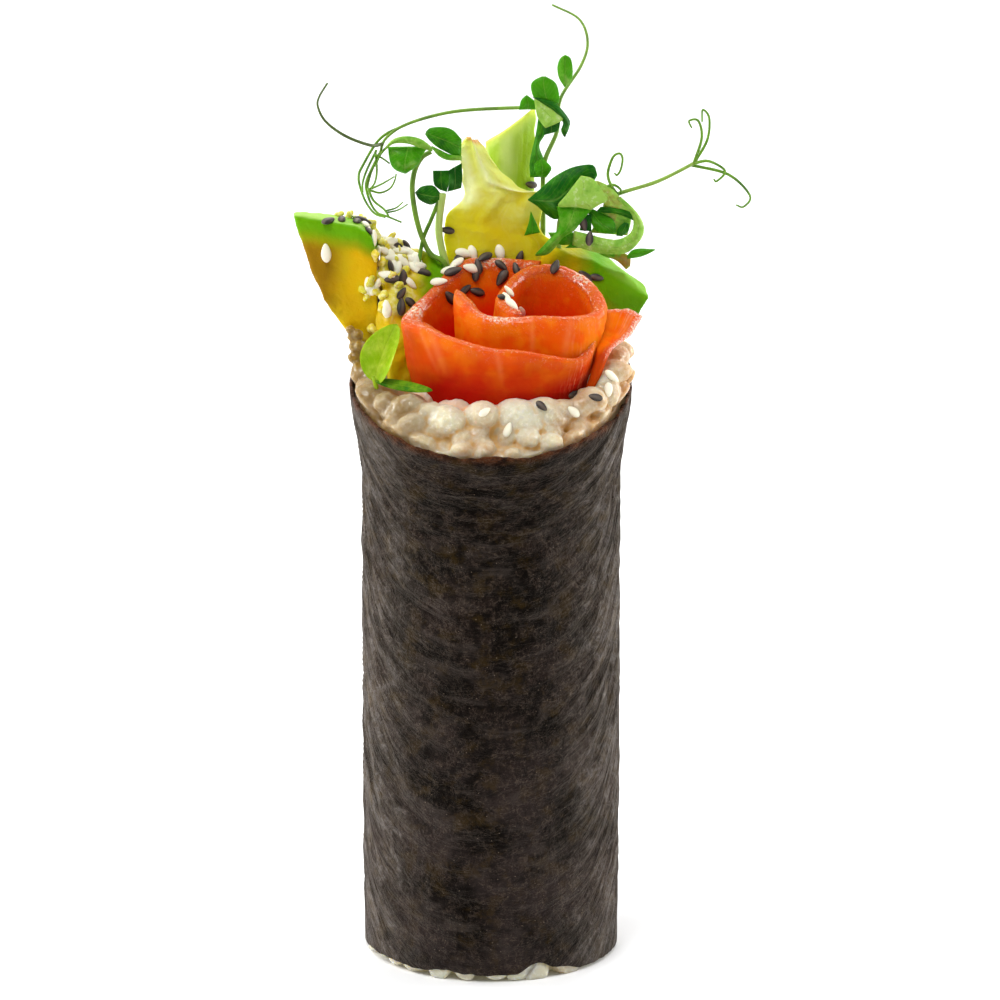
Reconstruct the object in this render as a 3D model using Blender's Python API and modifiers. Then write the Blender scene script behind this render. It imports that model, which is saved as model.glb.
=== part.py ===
"""A smoked salmon hand roll that stands upright.

A nori sheet is rolled round sushi rice, and the salmon, avocado and lettuce run down inside the rice
and open out above the slanted mouth, with pea shoots and sesame seeds on top.
Metres, +Z up. The origin is on the roll's axis, at the level it stands on. The front faces -Y.
"""

import math
import random

import bmesh
import bpy
from mathutils import Euler, Vector
from mathutils.bvhtree import BVHTree

MM = 0.001

# The nori sheet, rolled a little more than once round
ROLL_RADIUS = 24.0 * MM
MOUTH_FLARE = 2.3 * MM
FLARE_START = 92.0 * MM
FLARE_END = 112.0 * MM
RIM_HEIGHT = 111.0 * MM
RIM_SLOPE = 0.33
SLOPE_START = 85.0 * MM
NORI_THICKNESS = 0.5 * MM
NORI_TURNS = 1.2
NORI_SEAM = math.radians(60)
NORI_WRINKLE = 0.35 * MM
GAP = 0.3 * MM

# The rice ring round the hollow that the fillings share
CAVITY_RADIUS = 14.0 * MM
RICE_RISE = 4.4 * MM
RICE_ROOM = GAP + 0.1 * MM
GRAIN_LENGTH = 6.2 * MM
GRAIN_WIDTH = 4.2 * MM
# Rings of grains at the mouth: radius in millimetres, how many, and how far they stand up
GRAIN_RINGS = ((15.6, 6, 0.4), (19.2, 16, 0.8), (22.5, 19, 0.3))
# Lumps of rice above the rim: x, y, z in millimetres, and size
RIM_LUMPS = ((23.2, 1, 115, 1.5), (22.3, -5, 112.5, 1.1), (-22.9, 3, 114, 1.2), (-20.5, 8, 115, 1.2))

# How the fillings share the hollow, in millimetres
SALMON_BACK = 1.35
FILLING_HALF = 5.85
LETTUCE_SPLIT = 9.2
FILLING_GAP = GAP / MM

# The salmon rose. Its slices stand on edge: the inner one's rim runs from the heart of the rose
# outwards, the outer one's from the back, round the left tip and along the front (millimetres)
SALMON_THICKNESS = 2.7 * MM
ROSE_CENTRE = (2.0, -4.0)
ROSE_GATHER = 0.8
ROSE_FOOT = 107.0 * MM
ROSE_FLOOR = 117.0 * MM
ROSE_RIM = 125.0 * MM
INNER_RIM = (
    (5.6, -8.5, 125.3), (2.1, -5, 127.1), (3.2, -1, 128.9), (6.9, 4.5, 130.7), (13.2, 6.5, 130.4),
    (18.9, 0.5, 128), (20.3, -6.0, 125.5), (14.7, -10.5, 125), (1.7, -10.5, 125), (-2.7, -9, 125.6),
    (-6.4, -4, 128.7),
)
OUTER_RIM = (
    (9.3, 8.5, 130.7), (0.4, 9, 131.3), (-5, 7.5, 131.3), (-11.3, 1, 126.7), (-15.8, -5.5, 123.2),
    (-12.1, -11, 123.2), (-2.7, -16, 121), (6.1, -17, 120.1), (16.2, -13.6, 117.8), (19.2, -7, 122.4),
)

# Leaves, stems and seeds
LEAF_THICKNESS = 0.5 * MM
LETTUCE_THICKNESS = 1.3 * MM
STEM = 0.95 * MM
TENDRIL = 0.6 * MM
SEED = Vector((3.1, 1.9, 1.0)) * MM

# Seeds fall along this line, down from the front, and their spots are x and z in millimetres
# where the line crosses the plane y = 0
STREW_SLOPE = math.radians(15.5)
STREW_LINE = Vector((0, math.cos(STREW_SLOPE), -math.sin(STREW_SLOPE)))
ROSE_SEEDS = (
    (-1.1, 133.8), (5.4, 134), (-4.6, 131.6), (1.9, 132.3), (4.7, 131.7), (11.9, 131.9), (-2.6, 127.2),
    (-4.8, 127.8), (5, 126.8), (3.8, 124.9),
)
LEFT_SEEDS = ((-30.1, 140.2), (-27.4, 140.6), (-23, 139.6), (-30.5, 134.6))
MIDDLE_SEEDS = (
    (-19, 136.6), (-16.4, 135.6), (-13.6, 134.2), (-17.7, 133), (-14.6, 131.6), (-16.4, 128.9),
    (-16.8, 126.4), (-19.4, 123.9),
)
RICE_SEEDS = ((9.3, 104.8), (15.3, 107.3), (19.2, 106.5), (3.2, 100.2))


# Small helpers

def place(x, y, z):
    """A place given in millimetres."""
    return Vector((x, y, z)) * MM


def eased(value):
    """0 below 0, 1 above 1, and a smooth step between."""
    value = min(max(value, 0.0), 1.0)
    return value * value * (3 - 2 * value)


def smooth(corners, steps):
    """Points in metres along a smooth curve through corners given in millimetres."""
    corners = [place(*corner) for corner in corners]
    ends = [2 * corners[0] - corners[1]] + corners + [2 * corners[-1] - corners[-2]]
    points = []
    for before, start, end, after in zip(ends, ends[1:], ends[2:], ends[3:]):
        for step in range(steps):
            t = step / steps
            points.append(
                (
                    2 * start
                    + (end - before) * t
                    + (2 * before - 5 * start + 4 * end - after) * t * t
                    + (3 * start - before - 3 * end + after) * t ** 3
                )
                / 2
            )
    return points + [corners[-1]]


def along(points, fraction):
    """The point at this fraction of a list of points."""
    position = fraction * (len(points) - 1)
    index = min(int(position), len(points) - 2)
    return points[index].lerp(points[index + 1], position - index)


def material(name, colour, roughness):
    """A plain Principled finish."""
    finish = bpy.data.materials.new(name)
    finish.use_nodes = True
    shader = finish.node_tree.nodes["Principled BSDF"]
    shader.inputs["Base Color"].default_value = (*colour, 1)
    shader.inputs["Roughness"].default_value = roughness
    shader.inputs["Metallic"].default_value = 0
    return finish


def new_object(name, form):
    """An object in the scene from a bmesh, which is freed."""
    mesh = bpy.data.meshes.new(name)
    form.to_mesh(mesh)
    form.free()
    made = bpy.data.objects.new(name, mesh)
    bpy.context.scene.collection.objects.link(made)
    return made


def apply_modifiers(piece):
    """Gives the piece the mesh that its modifiers make."""
    bpy.context.view_layer.update()
    graph = bpy.context.evaluated_depsgraph_get()
    made = bpy.data.meshes.new_from_object(piece.evaluated_get(graph))
    piece.modifiers.clear()
    piece.data = made


def face_outward(piece):
    """Turns all faces of a closed mesh outwards."""
    form = bmesh.new()
    form.from_mesh(piece.data)
    bmesh.ops.recalc_face_normals(form, faces=form.faces)
    form.to_mesh(piece.data)
    form.free()
    return piece


def keep_largest(piece):
    """Drops the loose scraps that a cut or a join leaves beside the main body."""
    form = bmesh.new()
    form.from_mesh(piece.data)
    unseen = set(form.verts)
    bodies = []
    while unseen:
        body = {unseen.pop()}
        newest = set(body)
        while newest:
            near = {edge.other_vert(corner) for corner in newest for edge in corner.link_edges}
            newest = near - body
            body |= near
        unseen -= body
        bodies.append(body)
    largest = max(bodies, key=len)
    scraps = [corner for corner in form.verts if corner not in largest]
    bmesh.ops.delete(form, geom=scraps, context="VERTS")
    form.to_mesh(piece.data)
    form.free()


def boolean(piece, operation, others):
    """One Boolean of the piece with all the others, which are then removed."""
    cutters = bpy.data.collections.new(piece.name + "_others")
    bpy.context.scene.collection.children.link(cutters)
    for other in others:
        bpy.context.scene.collection.objects.unlink(other)
        cutters.objects.link(other)
        other.hide_render = True
        other.display_type = "WIRE"
    cut = piece.modifiers.new(operation.lower(), "BOOLEAN")
    cut.operation = operation
    cut.solver = "MANIFOLD"
    cut.operand_type = "COLLECTION"
    cut.collection = cutters
    apply_modifiers(piece)
    for other in others:
        bpy.data.objects.remove(other)
    bpy.data.collections.remove(cutters)
    keep_largest(piece)
    return piece


def fattened(piece, amount):
    """A copy of the piece whose surface stands out by this much."""
    form = bmesh.new()
    form.from_mesh(piece.data)
    form.normal_update()
    outward = [corner.normal.copy() for corner in form.verts]
    for corner, normal in zip(form.verts, outward):
        corner.co += normal * amount
    return new_object(piece.name + "_room", form)


def clear_of(piece, *neighbours):
    """Cuts the piece back so that it keeps the gap to its neighbours."""
    return boolean(piece, "DIFFERENCE", [fattened(neighbour, GAP) for neighbour in neighbours])


def sheet(name, place_of, columns, rows, thickness):
    """A thin solid: a flat grid whose point (u, v) moves to place_of(u, v), thickened to both sides."""
    form = bmesh.new()
    bmesh.ops.create_grid(form, x_segments=columns, y_segments=rows, size=0.5)
    for corner in form.verts:
        corner.co = place_of(corner.co.x + 0.5, corner.co.y + 0.5)
    bmesh.ops.remove_doubles(form, verts=form.verts, dist=0.01 * MM)
    bmesh.ops.triangulate(form, faces=form.faces)
    made = new_object(name, form)
    wall = made.modifiers.new("thickness", "SOLIDIFY")
    wall.thickness = thickness
    wall.offset = 0
    apply_modifiers(made)
    return face_outward(made)


def stem(name, corners, thickness, steps=2):
    """A round stem or tendril along a smooth curve through the corners, given in millimetres."""
    points = smooth(corners, steps)
    curve = bpy.data.curves.new(name, "CURVE")
    curve.dimensions = "3D"
    curve.bevel_depth = thickness / 2
    curve.bevel_resolution = 0 if thickness <= TENDRIL else 1
    curve.use_fill_caps = True
    spline = curve.splines.new("POLY")
    spline.points.add(len(points) - 1)
    for spot, point in zip(spline.points, points):
        spot.co = (*point, 1)
    guide = bpy.data.objects.new(name + "_guide", curve)
    bpy.context.scene.collection.objects.link(guide)
    bpy.context.view_layer.update()
    graph = bpy.context.evaluated_depsgraph_get()
    form = bmesh.new()
    form.from_mesh(bpy.data.meshes.new_from_object(guide.evaluated_get(graph)))
    bmesh.ops.remove_doubles(form, verts=form.verts, dist=0.01 * MM)
    bpy.data.objects.remove(guide)
    return face_outward(new_object(name, form))


def leaf(base, tip, width, side, cup=0.15, arch=0.1):
    """A leaf from base to tip (millimetres), its blade spread towards side and cupped along its midrib."""
    start, end = place(*base), place(*tip)
    run = end - start
    across = Vector(side) - run * Vector(side).dot(run) / run.length_squared
    across.normalize()
    up = across.cross(run.normalized())

    def place_of(u, v):
        swell = math.sin(math.pi * u)
        edge = 2 * v - 1
        lift = arch * run.length * swell + cup * width * MM * edge * edge * swell
        return start + run * u + across * (width * MM / 2 * swell ** 0.7 * edge) + up * lift

    return sheet("leaf", place_of, 5, 2, LEAF_THICKNESS)


def hull(name, corners, rounding):
    """A cut piece of food: the convex hull of its corners (millimetres), its edges rounded off."""
    form = bmesh.new()
    for corner in corners:
        form.verts.new(place(*corner))
    made = bmesh.ops.convex_hull(form, input=form.verts)
    inside = [item for item in made["geom_interior"] if isinstance(item, bmesh.types.BMVert)]
    bmesh.ops.delete(form, geom=inside, context="VERTS")
    if rounding:
        bmesh.ops.dissolve_limit(
            form, angle_limit=math.radians(5), verts=form.verts, edges=form.edges
        )
        bmesh.ops.bevel(
            form,
            geom=form.edges,
            offset=rounding * MM,
            segments=1,
            affect="EDGES",
            clamp_overlap=True,
        )
    bmesh.ops.triangulate(form, faces=form.faces)
    return face_outward(new_object(name, form))


def stick(name, height, planes):
    """The part of a filling inside the roll: a cylinder cut by upright planes, each (point, normal)."""
    radius = CAVITY_RADIUS - RICE_ROOM
    form = bmesh.new()
    bmesh.ops.create_cone(
        form, cap_ends=True, segments=36, radius1=radius, radius2=radius, depth=height * MM
    )
    bmesh.ops.translate(form, verts=form.verts, vec=(0, 0, height * MM / 2))
    for point, normal in planes:
        cut = bmesh.ops.bisect_plane(
            form,
            geom=form.verts[:] + form.edges[:] + form.faces[:],
            plane_co=Vector((*point, 0)) * MM,
            plane_no=(*normal, 0),
            clear_outer=True,
        )
        edges = [item for item in cut["geom_cut"] if isinstance(item, bmesh.types.BMEdge)]
        bmesh.ops.holes_fill(form, edges=edges)
    bmesh.ops.triangulate(form, faces=form.faces)
    return face_outward(new_object(name, form))


def ellipsoid(name, centre, size, turn):
    """A grain or a seed: a ball with twenty sides, stretched to its size, then turned."""
    form = bmesh.new()
    bmesh.ops.create_icosphere(form, subdivisions=1, radius=0.53)
    bmesh.ops.scale(form, verts=form.verts, vec=size)
    bmesh.ops.rotate(form, verts=form.verts, matrix=turn)
    bmesh.ops.translate(form, verts=form.verts, vec=centre)
    return new_object(name, form)


# The roll's shape

def roll_radius(z):
    """Outside radius of the nori at this height."""
    return ROLL_RADIUS + MOUTH_FLARE * eased((z - FLARE_START) / (FLARE_END - FLARE_START))


def slanted(z, y):
    """A height on the upright roll moved to where the slanted mouth puts it."""
    share = max(0.0, (z - SLOPE_START) / (RIM_HEIGHT - SLOPE_START))
    return z + share * RIM_SLOPE * y


def nori_wrap():
    """The nori sheet: flat, then rolled up with its lap at the back and its lower edge ragged."""
    draw = random.Random(4)
    waves = [
        (draw.uniform(0, 6), draw.uniform(0, 6), draw.randint(5, 13), draw.uniform(60, 190))
        for _ in range(6)
    ]

    def place_of(u, v):
        turned = u * NORI_TURNS * 2 * math.pi
        lap = (NORI_THICKNESS + GAP) * eased((turned - 2 * math.pi + 0.4) / 0.3)
        angle = NORI_SEAM + turned
        bottom = (1.7 + 0.8 * math.sin(2 * angle + 1.2) + 0.4 * math.sin(9 * angle)) * MM
        rim = RIM_HEIGHT + (0.35 * math.sin(5 * angle) + 0.25 * math.sin(11 * angle)) * MM
        level = bottom + (rim - bottom) * (1 - (1 - v) ** 1.5)
        wrinkle = sum(math.sin(n * angle + a) * math.sin(k * level + b) for a, b, n, k in waves) / 3
        radius = roll_radius(level) - NORI_THICKNESS / 2 + lap
        radius += NORI_WRINKLE * max(0.0, wrinkle) * math.sin(math.pi * v)
        y = radius * math.sin(angle)
        return Vector((radius * math.cos(angle), y, slanted(level, y)))

    return sheet("nori_wrap", place_of, 50, 7, NORI_THICKNESS)


def rice_top(radius, angle):
    """Height of the bare rice at the mouth: it rises from the nori's rim towards the fillings."""
    y = radius * math.sin(angle)
    inward = (roll_radius(RIM_HEIGHT) - radius) / (roll_radius(RIM_HEIGHT) - CAVITY_RADIUS)
    return RIM_HEIGHT + RIM_SLOPE * y + RICE_RISE * eased(inward)


def rice_core():
    """The bare rice: a turned ring with the mouth's slant, standing flat."""
    body = ROLL_RADIUS - NORI_THICKNESS - RICE_ROOM
    mouth = roll_radius(RIM_HEIGHT) - NORI_THICKNESS - RICE_ROOM
    profile = [(body, 0), (body, 93), (body + 1.1 * MM, 102.5), (mouth - 0.3 * MM, 108)]
    profile += [(mouth - 1.2 * MM, 110.8), (21 * MM, 113)]
    profile += [(17.5 * MM, 115), (CAVITY_RADIUS, 115), (CAVITY_RADIUS, 0)]
    form = bmesh.new()
    corners = [form.verts.new((radius, 0, height * MM)) for radius, height in profile]
    for first, second in zip(corners, corners[1:] + corners[:1]):
        form.edges.new((first, second))
    bmesh.ops.spin(
        form,
        geom=form.verts[:] + form.edges[:],
        cent=(0, 0, 0),
        axis=(0, 0, 1),
        angle=2 * math.pi,
        steps=34,
        use_merge=True,
    )
    for corner in form.verts:
        corner.co.z = slanted(corner.co.z, corner.co.y)
    bmesh.ops.triangulate(form, faces=form.faces)
    return face_outward(new_object("rice", form))


def turned_by(draw, tilt):
    """A random turn about Z with a small random tilt."""
    turn = Euler((draw.uniform(-tilt, tilt), draw.uniform(-tilt, tilt), draw.uniform(0, math.pi)))
    return turn.to_matrix()


def rice_grains():
    """The grains that show: three uneven rings at the mouth."""
    draw = random.Random(11)
    grains = []
    for radius, count, lift in GRAIN_RINGS:
        for index in range(count):
            angle = 2 * math.pi * (index + draw.uniform(-0.2, 0.2)) / count
            reach = (radius + draw.uniform(-0.5, 0.5)) * MM
            height = rice_top(reach, angle) + (lift + draw.uniform(-0.6, 0.7)) * MM
            centre = Vector((reach * math.cos(angle), reach * math.sin(angle), height))
            shape = Vector((GRAIN_LENGTH, GRAIN_WIDTH, GRAIN_WIDTH)) * draw.uniform(0.9, 1.1)
            grains.append(ellipsoid("grain", centre, shape, turned_by(draw, 0.4)))
    return grains


def rim_lumps():
    """The lumps of rice that stand above the rim at the left and at the right."""
    draw = random.Random(5)
    shape = Vector((GRAIN_WIDTH, GRAIN_WIDTH, GRAIN_LENGTH))
    return [
        ellipsoid("lump", place(x, y, z), shape * size, turned_by(draw, 0.25))
        for x, y, z, size in RIM_LUMPS
    ]


def rice():
    """The rice as one heap that stands flat."""
    return boolean(rice_core(), "UNION", rice_grains() + rim_lumps())


# The salmon

def rose_foot(rim):
    """Where the slice below a point of the rose's rim goes down into the roll."""
    centre = place(*ROSE_CENTRE, 0)
    foot = centre + (rim - centre) * ROSE_GATHER
    return Vector((foot.x, min(foot.y, SALMON_BACK * MM), ROSE_FOOT))


def rose_slice(name, corners, columns):
    """One slice of salmon on edge, curled so that its rim runs through the corners."""
    rim = smooth(corners, 4)

    def place_of(u, v):
        top = along(rim, u)
        return rose_foot(top).lerp(top, v)

    return sheet(name, place_of, columns, 3, SALMON_THICKNESS)


def rose_floor():
    """The gathered salmon that closes the rose below its hollows."""
    level = (ROSE_FLOOR - ROSE_FOOT) / (ROSE_RIM - ROSE_FOOT)
    corners = []
    for x, y, _ in OUTER_RIM + INNER_RIM:
        rim = Vector((x * MM, y * MM, ROSE_RIM))
        foot = rose_foot(rim)
        corners += [foot / MM, foot.lerp(rim, level) / MM]
    return hull("rose_floor", corners, 0)


def salmon_rose():
    """The salmon: a roll of slices that runs to the foot and opens out as a rose."""
    core = stick("salmon_rose", 110, [((0, SALMON_BACK), (0, 1))])
    slices = [rose_slice("inner_slice", INNER_RIM, 28), rose_slice("outer_slice", OUTER_RIM, 24)]
    return boolean(core, "UNION", [rose_floor()] + slices)


def salmon_flap():
    """The slice that leans out over the rice on the right."""
    left = smooth(((15.5, -10.5, 106.5), (17.5, -11.5, 111), (20.5, -7, 118), (21.0, -3, 124.3)), 4)
    right = smooth(
        ((16.6, -12, 106.5), (18.8, -13, 112), (22.2, -9.5, 116.5), (25.9, -4.2, 120.3), (28.2, -1, 123)),
        4,
    )

    def place_of(u, v):
        spot = along(left, v).lerp(along(right, v), u)
        return spot + place(0, 0.6, 0.7) * math.sin(math.pi * u) * v

    return sheet("salmon_flap", place_of, 3, 7, SALMON_THICKNESS * 0.8)


# Avocado

def avocado_left():
    """A wedge of avocado that leans out over the rim, its green skin side up."""
    front = ((-36.6, 4, 140.6), (-25, 1.5, 139.2), (-22, 1.5, 136.8), (-20.9, 1.5, 126.5))
    front += ((-20.5, 2, 116), (-23.5, 3, 113.5), (-26.5, 3, 117.8), (-31, 3.5, 124.5), (-33.6, 4, 130.5))
    back = ((-36.9, 6.5, 141), (-23.5, 11, 138.5), (-21, 11, 135), (-20, 11, 118), (-23, 9, 115))
    return hull("avocado_left", front + back + ((-32, 8, 127),), 0.8)


def avocado_middle():
    """The avocado at the left of the rose, which runs down the back left of the roll."""
    planes = [((0, SALMON_BACK + FILLING_GAP), (0, -1)), ((-FILLING_HALF - FILLING_GAP, 0), (1, 0))]
    low = ((-12.8, 2, 106), (-7, 2, 106), (-7, 11, 106), (-11, 7.5, 106))
    front = ((-19, -6.5, 110), (-13, -7, 110), (-18.5, -5, 117), (-20.8, 1.5, 121), (-9, 1.5, 119))
    top = ((-20.6, 3, 131.5), (-9, 5, 126.5), (-20.6, 10, 136), (-8.6, 10, 130.8), (-18.5, 12, 118))
    core = stick("avocado_middle", 112, planes)
    return boolean(core, "UNION", [hull("upper", low + front + top, 0.8)])


def avocado_right():
    """The slice of avocado that fans out at the right behind the rose and runs down the back right."""
    planes = [((0, SALMON_BACK + FILLING_GAP), (0, -1)), ((FILLING_HALF + FILLING_GAP, 0), (-1, 0))]
    low = ((7, 3, 106), (12.5, 3, 106), (7, 11.5, 106), (11, 8, 106), (21, 7, 117), (8, 8, 118))
    front = ((9.5, 9, 133.6), (20.4, 8, 130.3), (25, 8, 128.6), (29.8, 9, 123.7), (27.9, 8, 120.6))
    back = ((11, 14, 134.5), (21, 14, 131), (29.3, 12.5, 125), (27, 12.5, 119.8), (10, 14, 117))
    core = stick("avocado_right", 112, planes)
    return boolean(core, "UNION", [hull("upper", low + front + back, 0.8)])


# Lettuce

def lettuce_stick(name, front, back):
    """The folded lettuce inside the roll, between two upright planes across it."""
    planes = [((0, front), (0, -1)), ((0, back), (0, 1))]
    planes += [((FILLING_HALF, 0), (1, 0)), ((-FILLING_HALF, 0), (-1, 0))]
    return stick(name, 108, planes)


def lettuce_front():
    """The pale inner lettuce leaf that stands behind the rose."""
    left = ((-5, 7, 106), (-7.6, 10, 122), (-8.6, 11.5, 134), (-8.2, 11.8, 138.8), (-5.3, 11.8, 142))
    left = smooth(left + ((-5.2, 12, 146), (-5.7, 12, 151.6), (-4.6, 12, 153.8)), 3)
    right = ((5, 7, 106), (9, 10, 122), (12.9, 11.5, 132), (9.2, 11.5, 136.4), (10.3, 11, 143))
    right = smooth(right + ((6.4, 11.4, 143.8), (1.7, 12, 147.4), (-2.4, 12, 153.2)), 3)

    def place_of(u, v):
        spot = along(left, v).lerp(along(right, v), u)
        ripple = 0.5 * math.sin(3 * math.pi * u + 5 * v) * math.sin(math.pi * u)
        return spot + place(0, ripple * v, 0)

    core = lettuce_stick("lettuce_front", SALMON_BACK + FILLING_GAP, LETTUCE_SPLIT)
    return boolean(core, "UNION", [sheet("blade", place_of, 8, 13, LETTUCE_THICKNESS)])


def lettuce_back():
    """The greener leaf behind it, curled round into half a tube."""
    left = smooth(((-4.5, 12.6, 105), (-3, 15.5, 122), (-1.2, 16.5, 138), (-0.9, 16.5, 152)), 3)
    right = smooth(((4.5, 12.6, 105), (7, 15.5, 122), (7.8, 16.5, 138), (8.4, 16.5, 158.8)), 3)

    def place_of(u, v):
        spot = along(left, v).lerp(along(right, v), 0.5 - 0.5 * math.cos(math.pi * u))
        return spot - place(0, (1 + 1.2 * v) * math.sin(math.pi * u), 0)

    core = lettuce_stick("lettuce_back", LETTUCE_SPLIT + FILLING_GAP, CAVITY_RADIUS / MM)
    return boolean(core, "UNION", [sheet("blade", place_of, 7, 8, LETTUCE_THICKNESS)])


# Pea shoots

def shoot_left():
    """The shoot at the left: two crossing stems, a pale one and four leaves."""
    tall = ((-11.5, 9.4, 151.4), (-13.2, 9, 149.8), (-14.6, 8.5, 145), (-14.1, 8.6, 139.8), (-12.5, 9, 135))
    tall += ((-10.4, 9, 131.6), (-8.2, 8.8, 129.5), (-7.3, 8.3, 124.4), (-7.1, 7.7, 118.4))
    crossing = ((-8.6, 9.2, 145), (-10.8, 9, 139.2), (-12.6, 9, 134.8), (-13.6, 7, 131))
    pale = ((-9, 9.1, 144), (-9.7, 9.2, 137.4), (-9.3, 9, 133.6), (-8.2, 8.8, 129.5))
    pieces = [
        stem("crossing", crossing, STEM),
        stem("pale", pale, STEM * 1.4),
        leaf((-10.8, 9.4, 151.8), (-19, 6.4, 150.6), 7, (0, 0.3, 1), cup=0.2),
        leaf((-12, 9.4, 151.8), (-5.5, 10.4, 153.3), 5.6, (0, 0.3, 1)),
        leaf((-9, 9.1, 142.6), (-8.3, 10.6, 149.1), 5.4, (1, 0.4, 0)),
        leaf((-8.6, 9.2, 143.7), (-14.1, 6.5, 144.3), 3.6, (0, 0.3, 1)),
    ]
    return boolean(stem("shoot_left", tall, STEM), "UNION", pieces)


def shoot_top():
    """The tallest shoot: an arching tip with a bud leaf, and a long stem that ends in loops at the left."""
    tall = ((9.0, 12, 117), (9.7, 12.8, 132), (9.7, 13.4, 143.9), (10.1, 13.2, 149.1))
    tall += ((12.3, 13, 154.6), (12.9, 13, 160.7), (16.7, 11.5, 167.3), (17.9, 9.5, 172.2))
    tall += ((16.3, 8.5, 176.7), (11.3, 8, 179.5))
    long = ((12.8, 13, 158.2), (10.1, 13.5, 158.9), (3.6, 15, 158.6), (-7, 14, 158.1), (-15.3, 10, 156.7))
    long += ((-20.2, 6, 153.7), (-22.8, 3, 147.2), (-20.2, 0, 142.9), (-17.7, -1.5, 141.2))
    side = ((-15.3, 10, 156.7), (-23.4, 5, 153.5), (-24.6, 2.5, 148.6), (-23, 1, 143.9))
    side += ((-20.6, -0.5, 141.6), (-19.2, -0.5, 142.1), (-15.2, -2, 144.1))
    free = ((-20.1, 6, 153.7), (-25.2, 8.5, 153.6), (-30.7, 12, 156.9), (-32.1, 14, 159.4))
    free += ((-30.4, 15, 163.3),)
    pieces = [
        stem("long", long, STEM * 0.85),
        stem("side", side, TENDRIL),
        stem("free", free, TENDRIL),
        stem("loop", ((-22.8, 3, 147), (-19.7, 1.5, 145.5), (-17.5, 0.5, 148.7), (-18.3, 2, 151)), TENDRIL),
        stem("loop", ((-22.8, 3, 146.4), (-21.1, 3.4, 146.5), (-17.7, 1.5, 148.8)), TENDRIL),
        leaf((12.7, 13, 157.4), (9.9, 11, 165.2), 5.4, (1, 0.3, 0)),
        leaf((14.2, 12.6, 156.4), (7.9, 11, 161.6), 3.4, (1, 0, 1)),
        leaf((13.1, 12.6, 157.1), (7.9, 9.6, 158.7), 5, (0, 0.3, 1)),
        leaf((12.7, 13, 159), (5.1, 14.5, 159.2), 3, (0, 0.4, 1)),
        leaf((12.9, 13, 158.8), (13.6, 11.2, 153.6), 2.8, (1, 0.3, 0)),
        leaf((9.9, 13.4, 147.5), (8.7, 12.2, 156.4), 2.4, (1, 0.3, 0)),
        leaf((9.7, 13.4, 143.9), (9.1, 12, 151), 4.6, (1, 0.3, 0)),
        leaf((13.9, 12.7, 162.6), (13.8, 11, 169.3), 3, (1, 0.3, 0)),
    ]
    return boolean(stem("shoot_top", tall, STEM), "UNION", pieces)


def shoot_right():
    """The shoot at the right: its leaves over the avocado and its tendrils out to the side."""
    tall = ((13, 10.6, 129.5), (12.6, 9.8, 136.2), (13.6, 9.2, 139.6), (18.3, 9, 141.2), (23.8, 8.7, 143.7))
    tall += ((31, 5, 146.9), (38.1, 1, 151.5))
    curls = (
        ((37.5, 1.4, 151.1), (38.8, -1, 156.4), (38.1, -2, 159.8), (36.4, -2.6, 159.9), (36.9, -2.6, 158.6)),
        ((37.5, 1.4, 151.1), (39.9, 2, 155.3), (40.3, 3.6, 159.1), (39.1, 4.4, 160.5), (39, 4, 158.3)),
        ((37.1, 1.6, 150.9), (40.1, -0.5, 151.9), (43.1, -2, 150.4), (41.6, -2.6, 148.6), (41, -2.6, 149)),
        ((36.8, 1.8, 150.7), (43.9, 3, 148.6), (48.2, 5, 144.3), (46.9, 6, 141.8), (45.5, 6.2, 142.1)),
        ((23.8, 8.6, 143.5), (21.8, 9.6, 146.8), (23.6, 11, 150.8), (24.3, 11.6, 148.1), (23, 11.6, 147)),
    )
    ribbon = ((23.3, 8.8, 143.4), (26.3, 9.6, 140.9), (28, 9.6, 137.3), (26.6, 7.5, 134.2))
    ribbon += ((22.7, 6.2, 134.1), (18.8, 6.4, 135.4), (13.2, 9, 138.4))
    pieces = [stem("curl", curl, TENDRIL) for curl in curls]
    pieces += [
        stem("ribbon", ribbon, STEM * 1.8),
        leaf((13.1, 9.3, 138.6), (19.5, 10.5, 149), 9, (1, 0.2, -0.5)),
        leaf((13, 9.2, 138.9), (6.9, 9.5, 142.5), 4.4, (1, 0.2, 1)),
        leaf((22.7, 8.8, 143.4), (12.8, 6, 142.3), 7.4, (0, 0.3, 1)),
        leaf((18.6, 8.9, 141.4), (9.9, 6.8, 134), 4.8, (1, 0, -1)),
        leaf((21.6, 8.8, 142.8), (20.9, 7.6, 136.2), 4.4, (1, 0.2, 0)),
        leaf((25.4, 7.2, 134.1), (30.7, 6, 133.5), 2.4, (0, 0.3, 1)),
    ]
    return boolean(stem("shoot_right", tall, STEM), "UNION", pieces)


def sprout_front():
    """The seedling at the left of the rose: a bright leaf and a narrow blade on a short stem."""
    pieces = [
        leaf((-21.4, -10.2, 112.2), (-17.1, -8.4, 123.2), 7.6, (1, -0.4, 0), cup=0.25),
        leaf((-21.4, -10.6, 112.8), (-10.6, -17.2, 112.6), 2, (0, 0.5, 1), arch=0.04),
    ]
    corners = ((-20.4, -9.6, 108.5), (-21, -10.2, 111), (-21.6, -10.4, 113.6))
    return boolean(stem("sprout_front", corners, STEM), "UNION", pieces)


# Sesame seeds

def tree_of(piece):
    """The piece's surface, for finding where lines and other surfaces meet it."""
    return BVHTree.FromObject(piece, bpy.context.evaluated_depsgraph_get())


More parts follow.
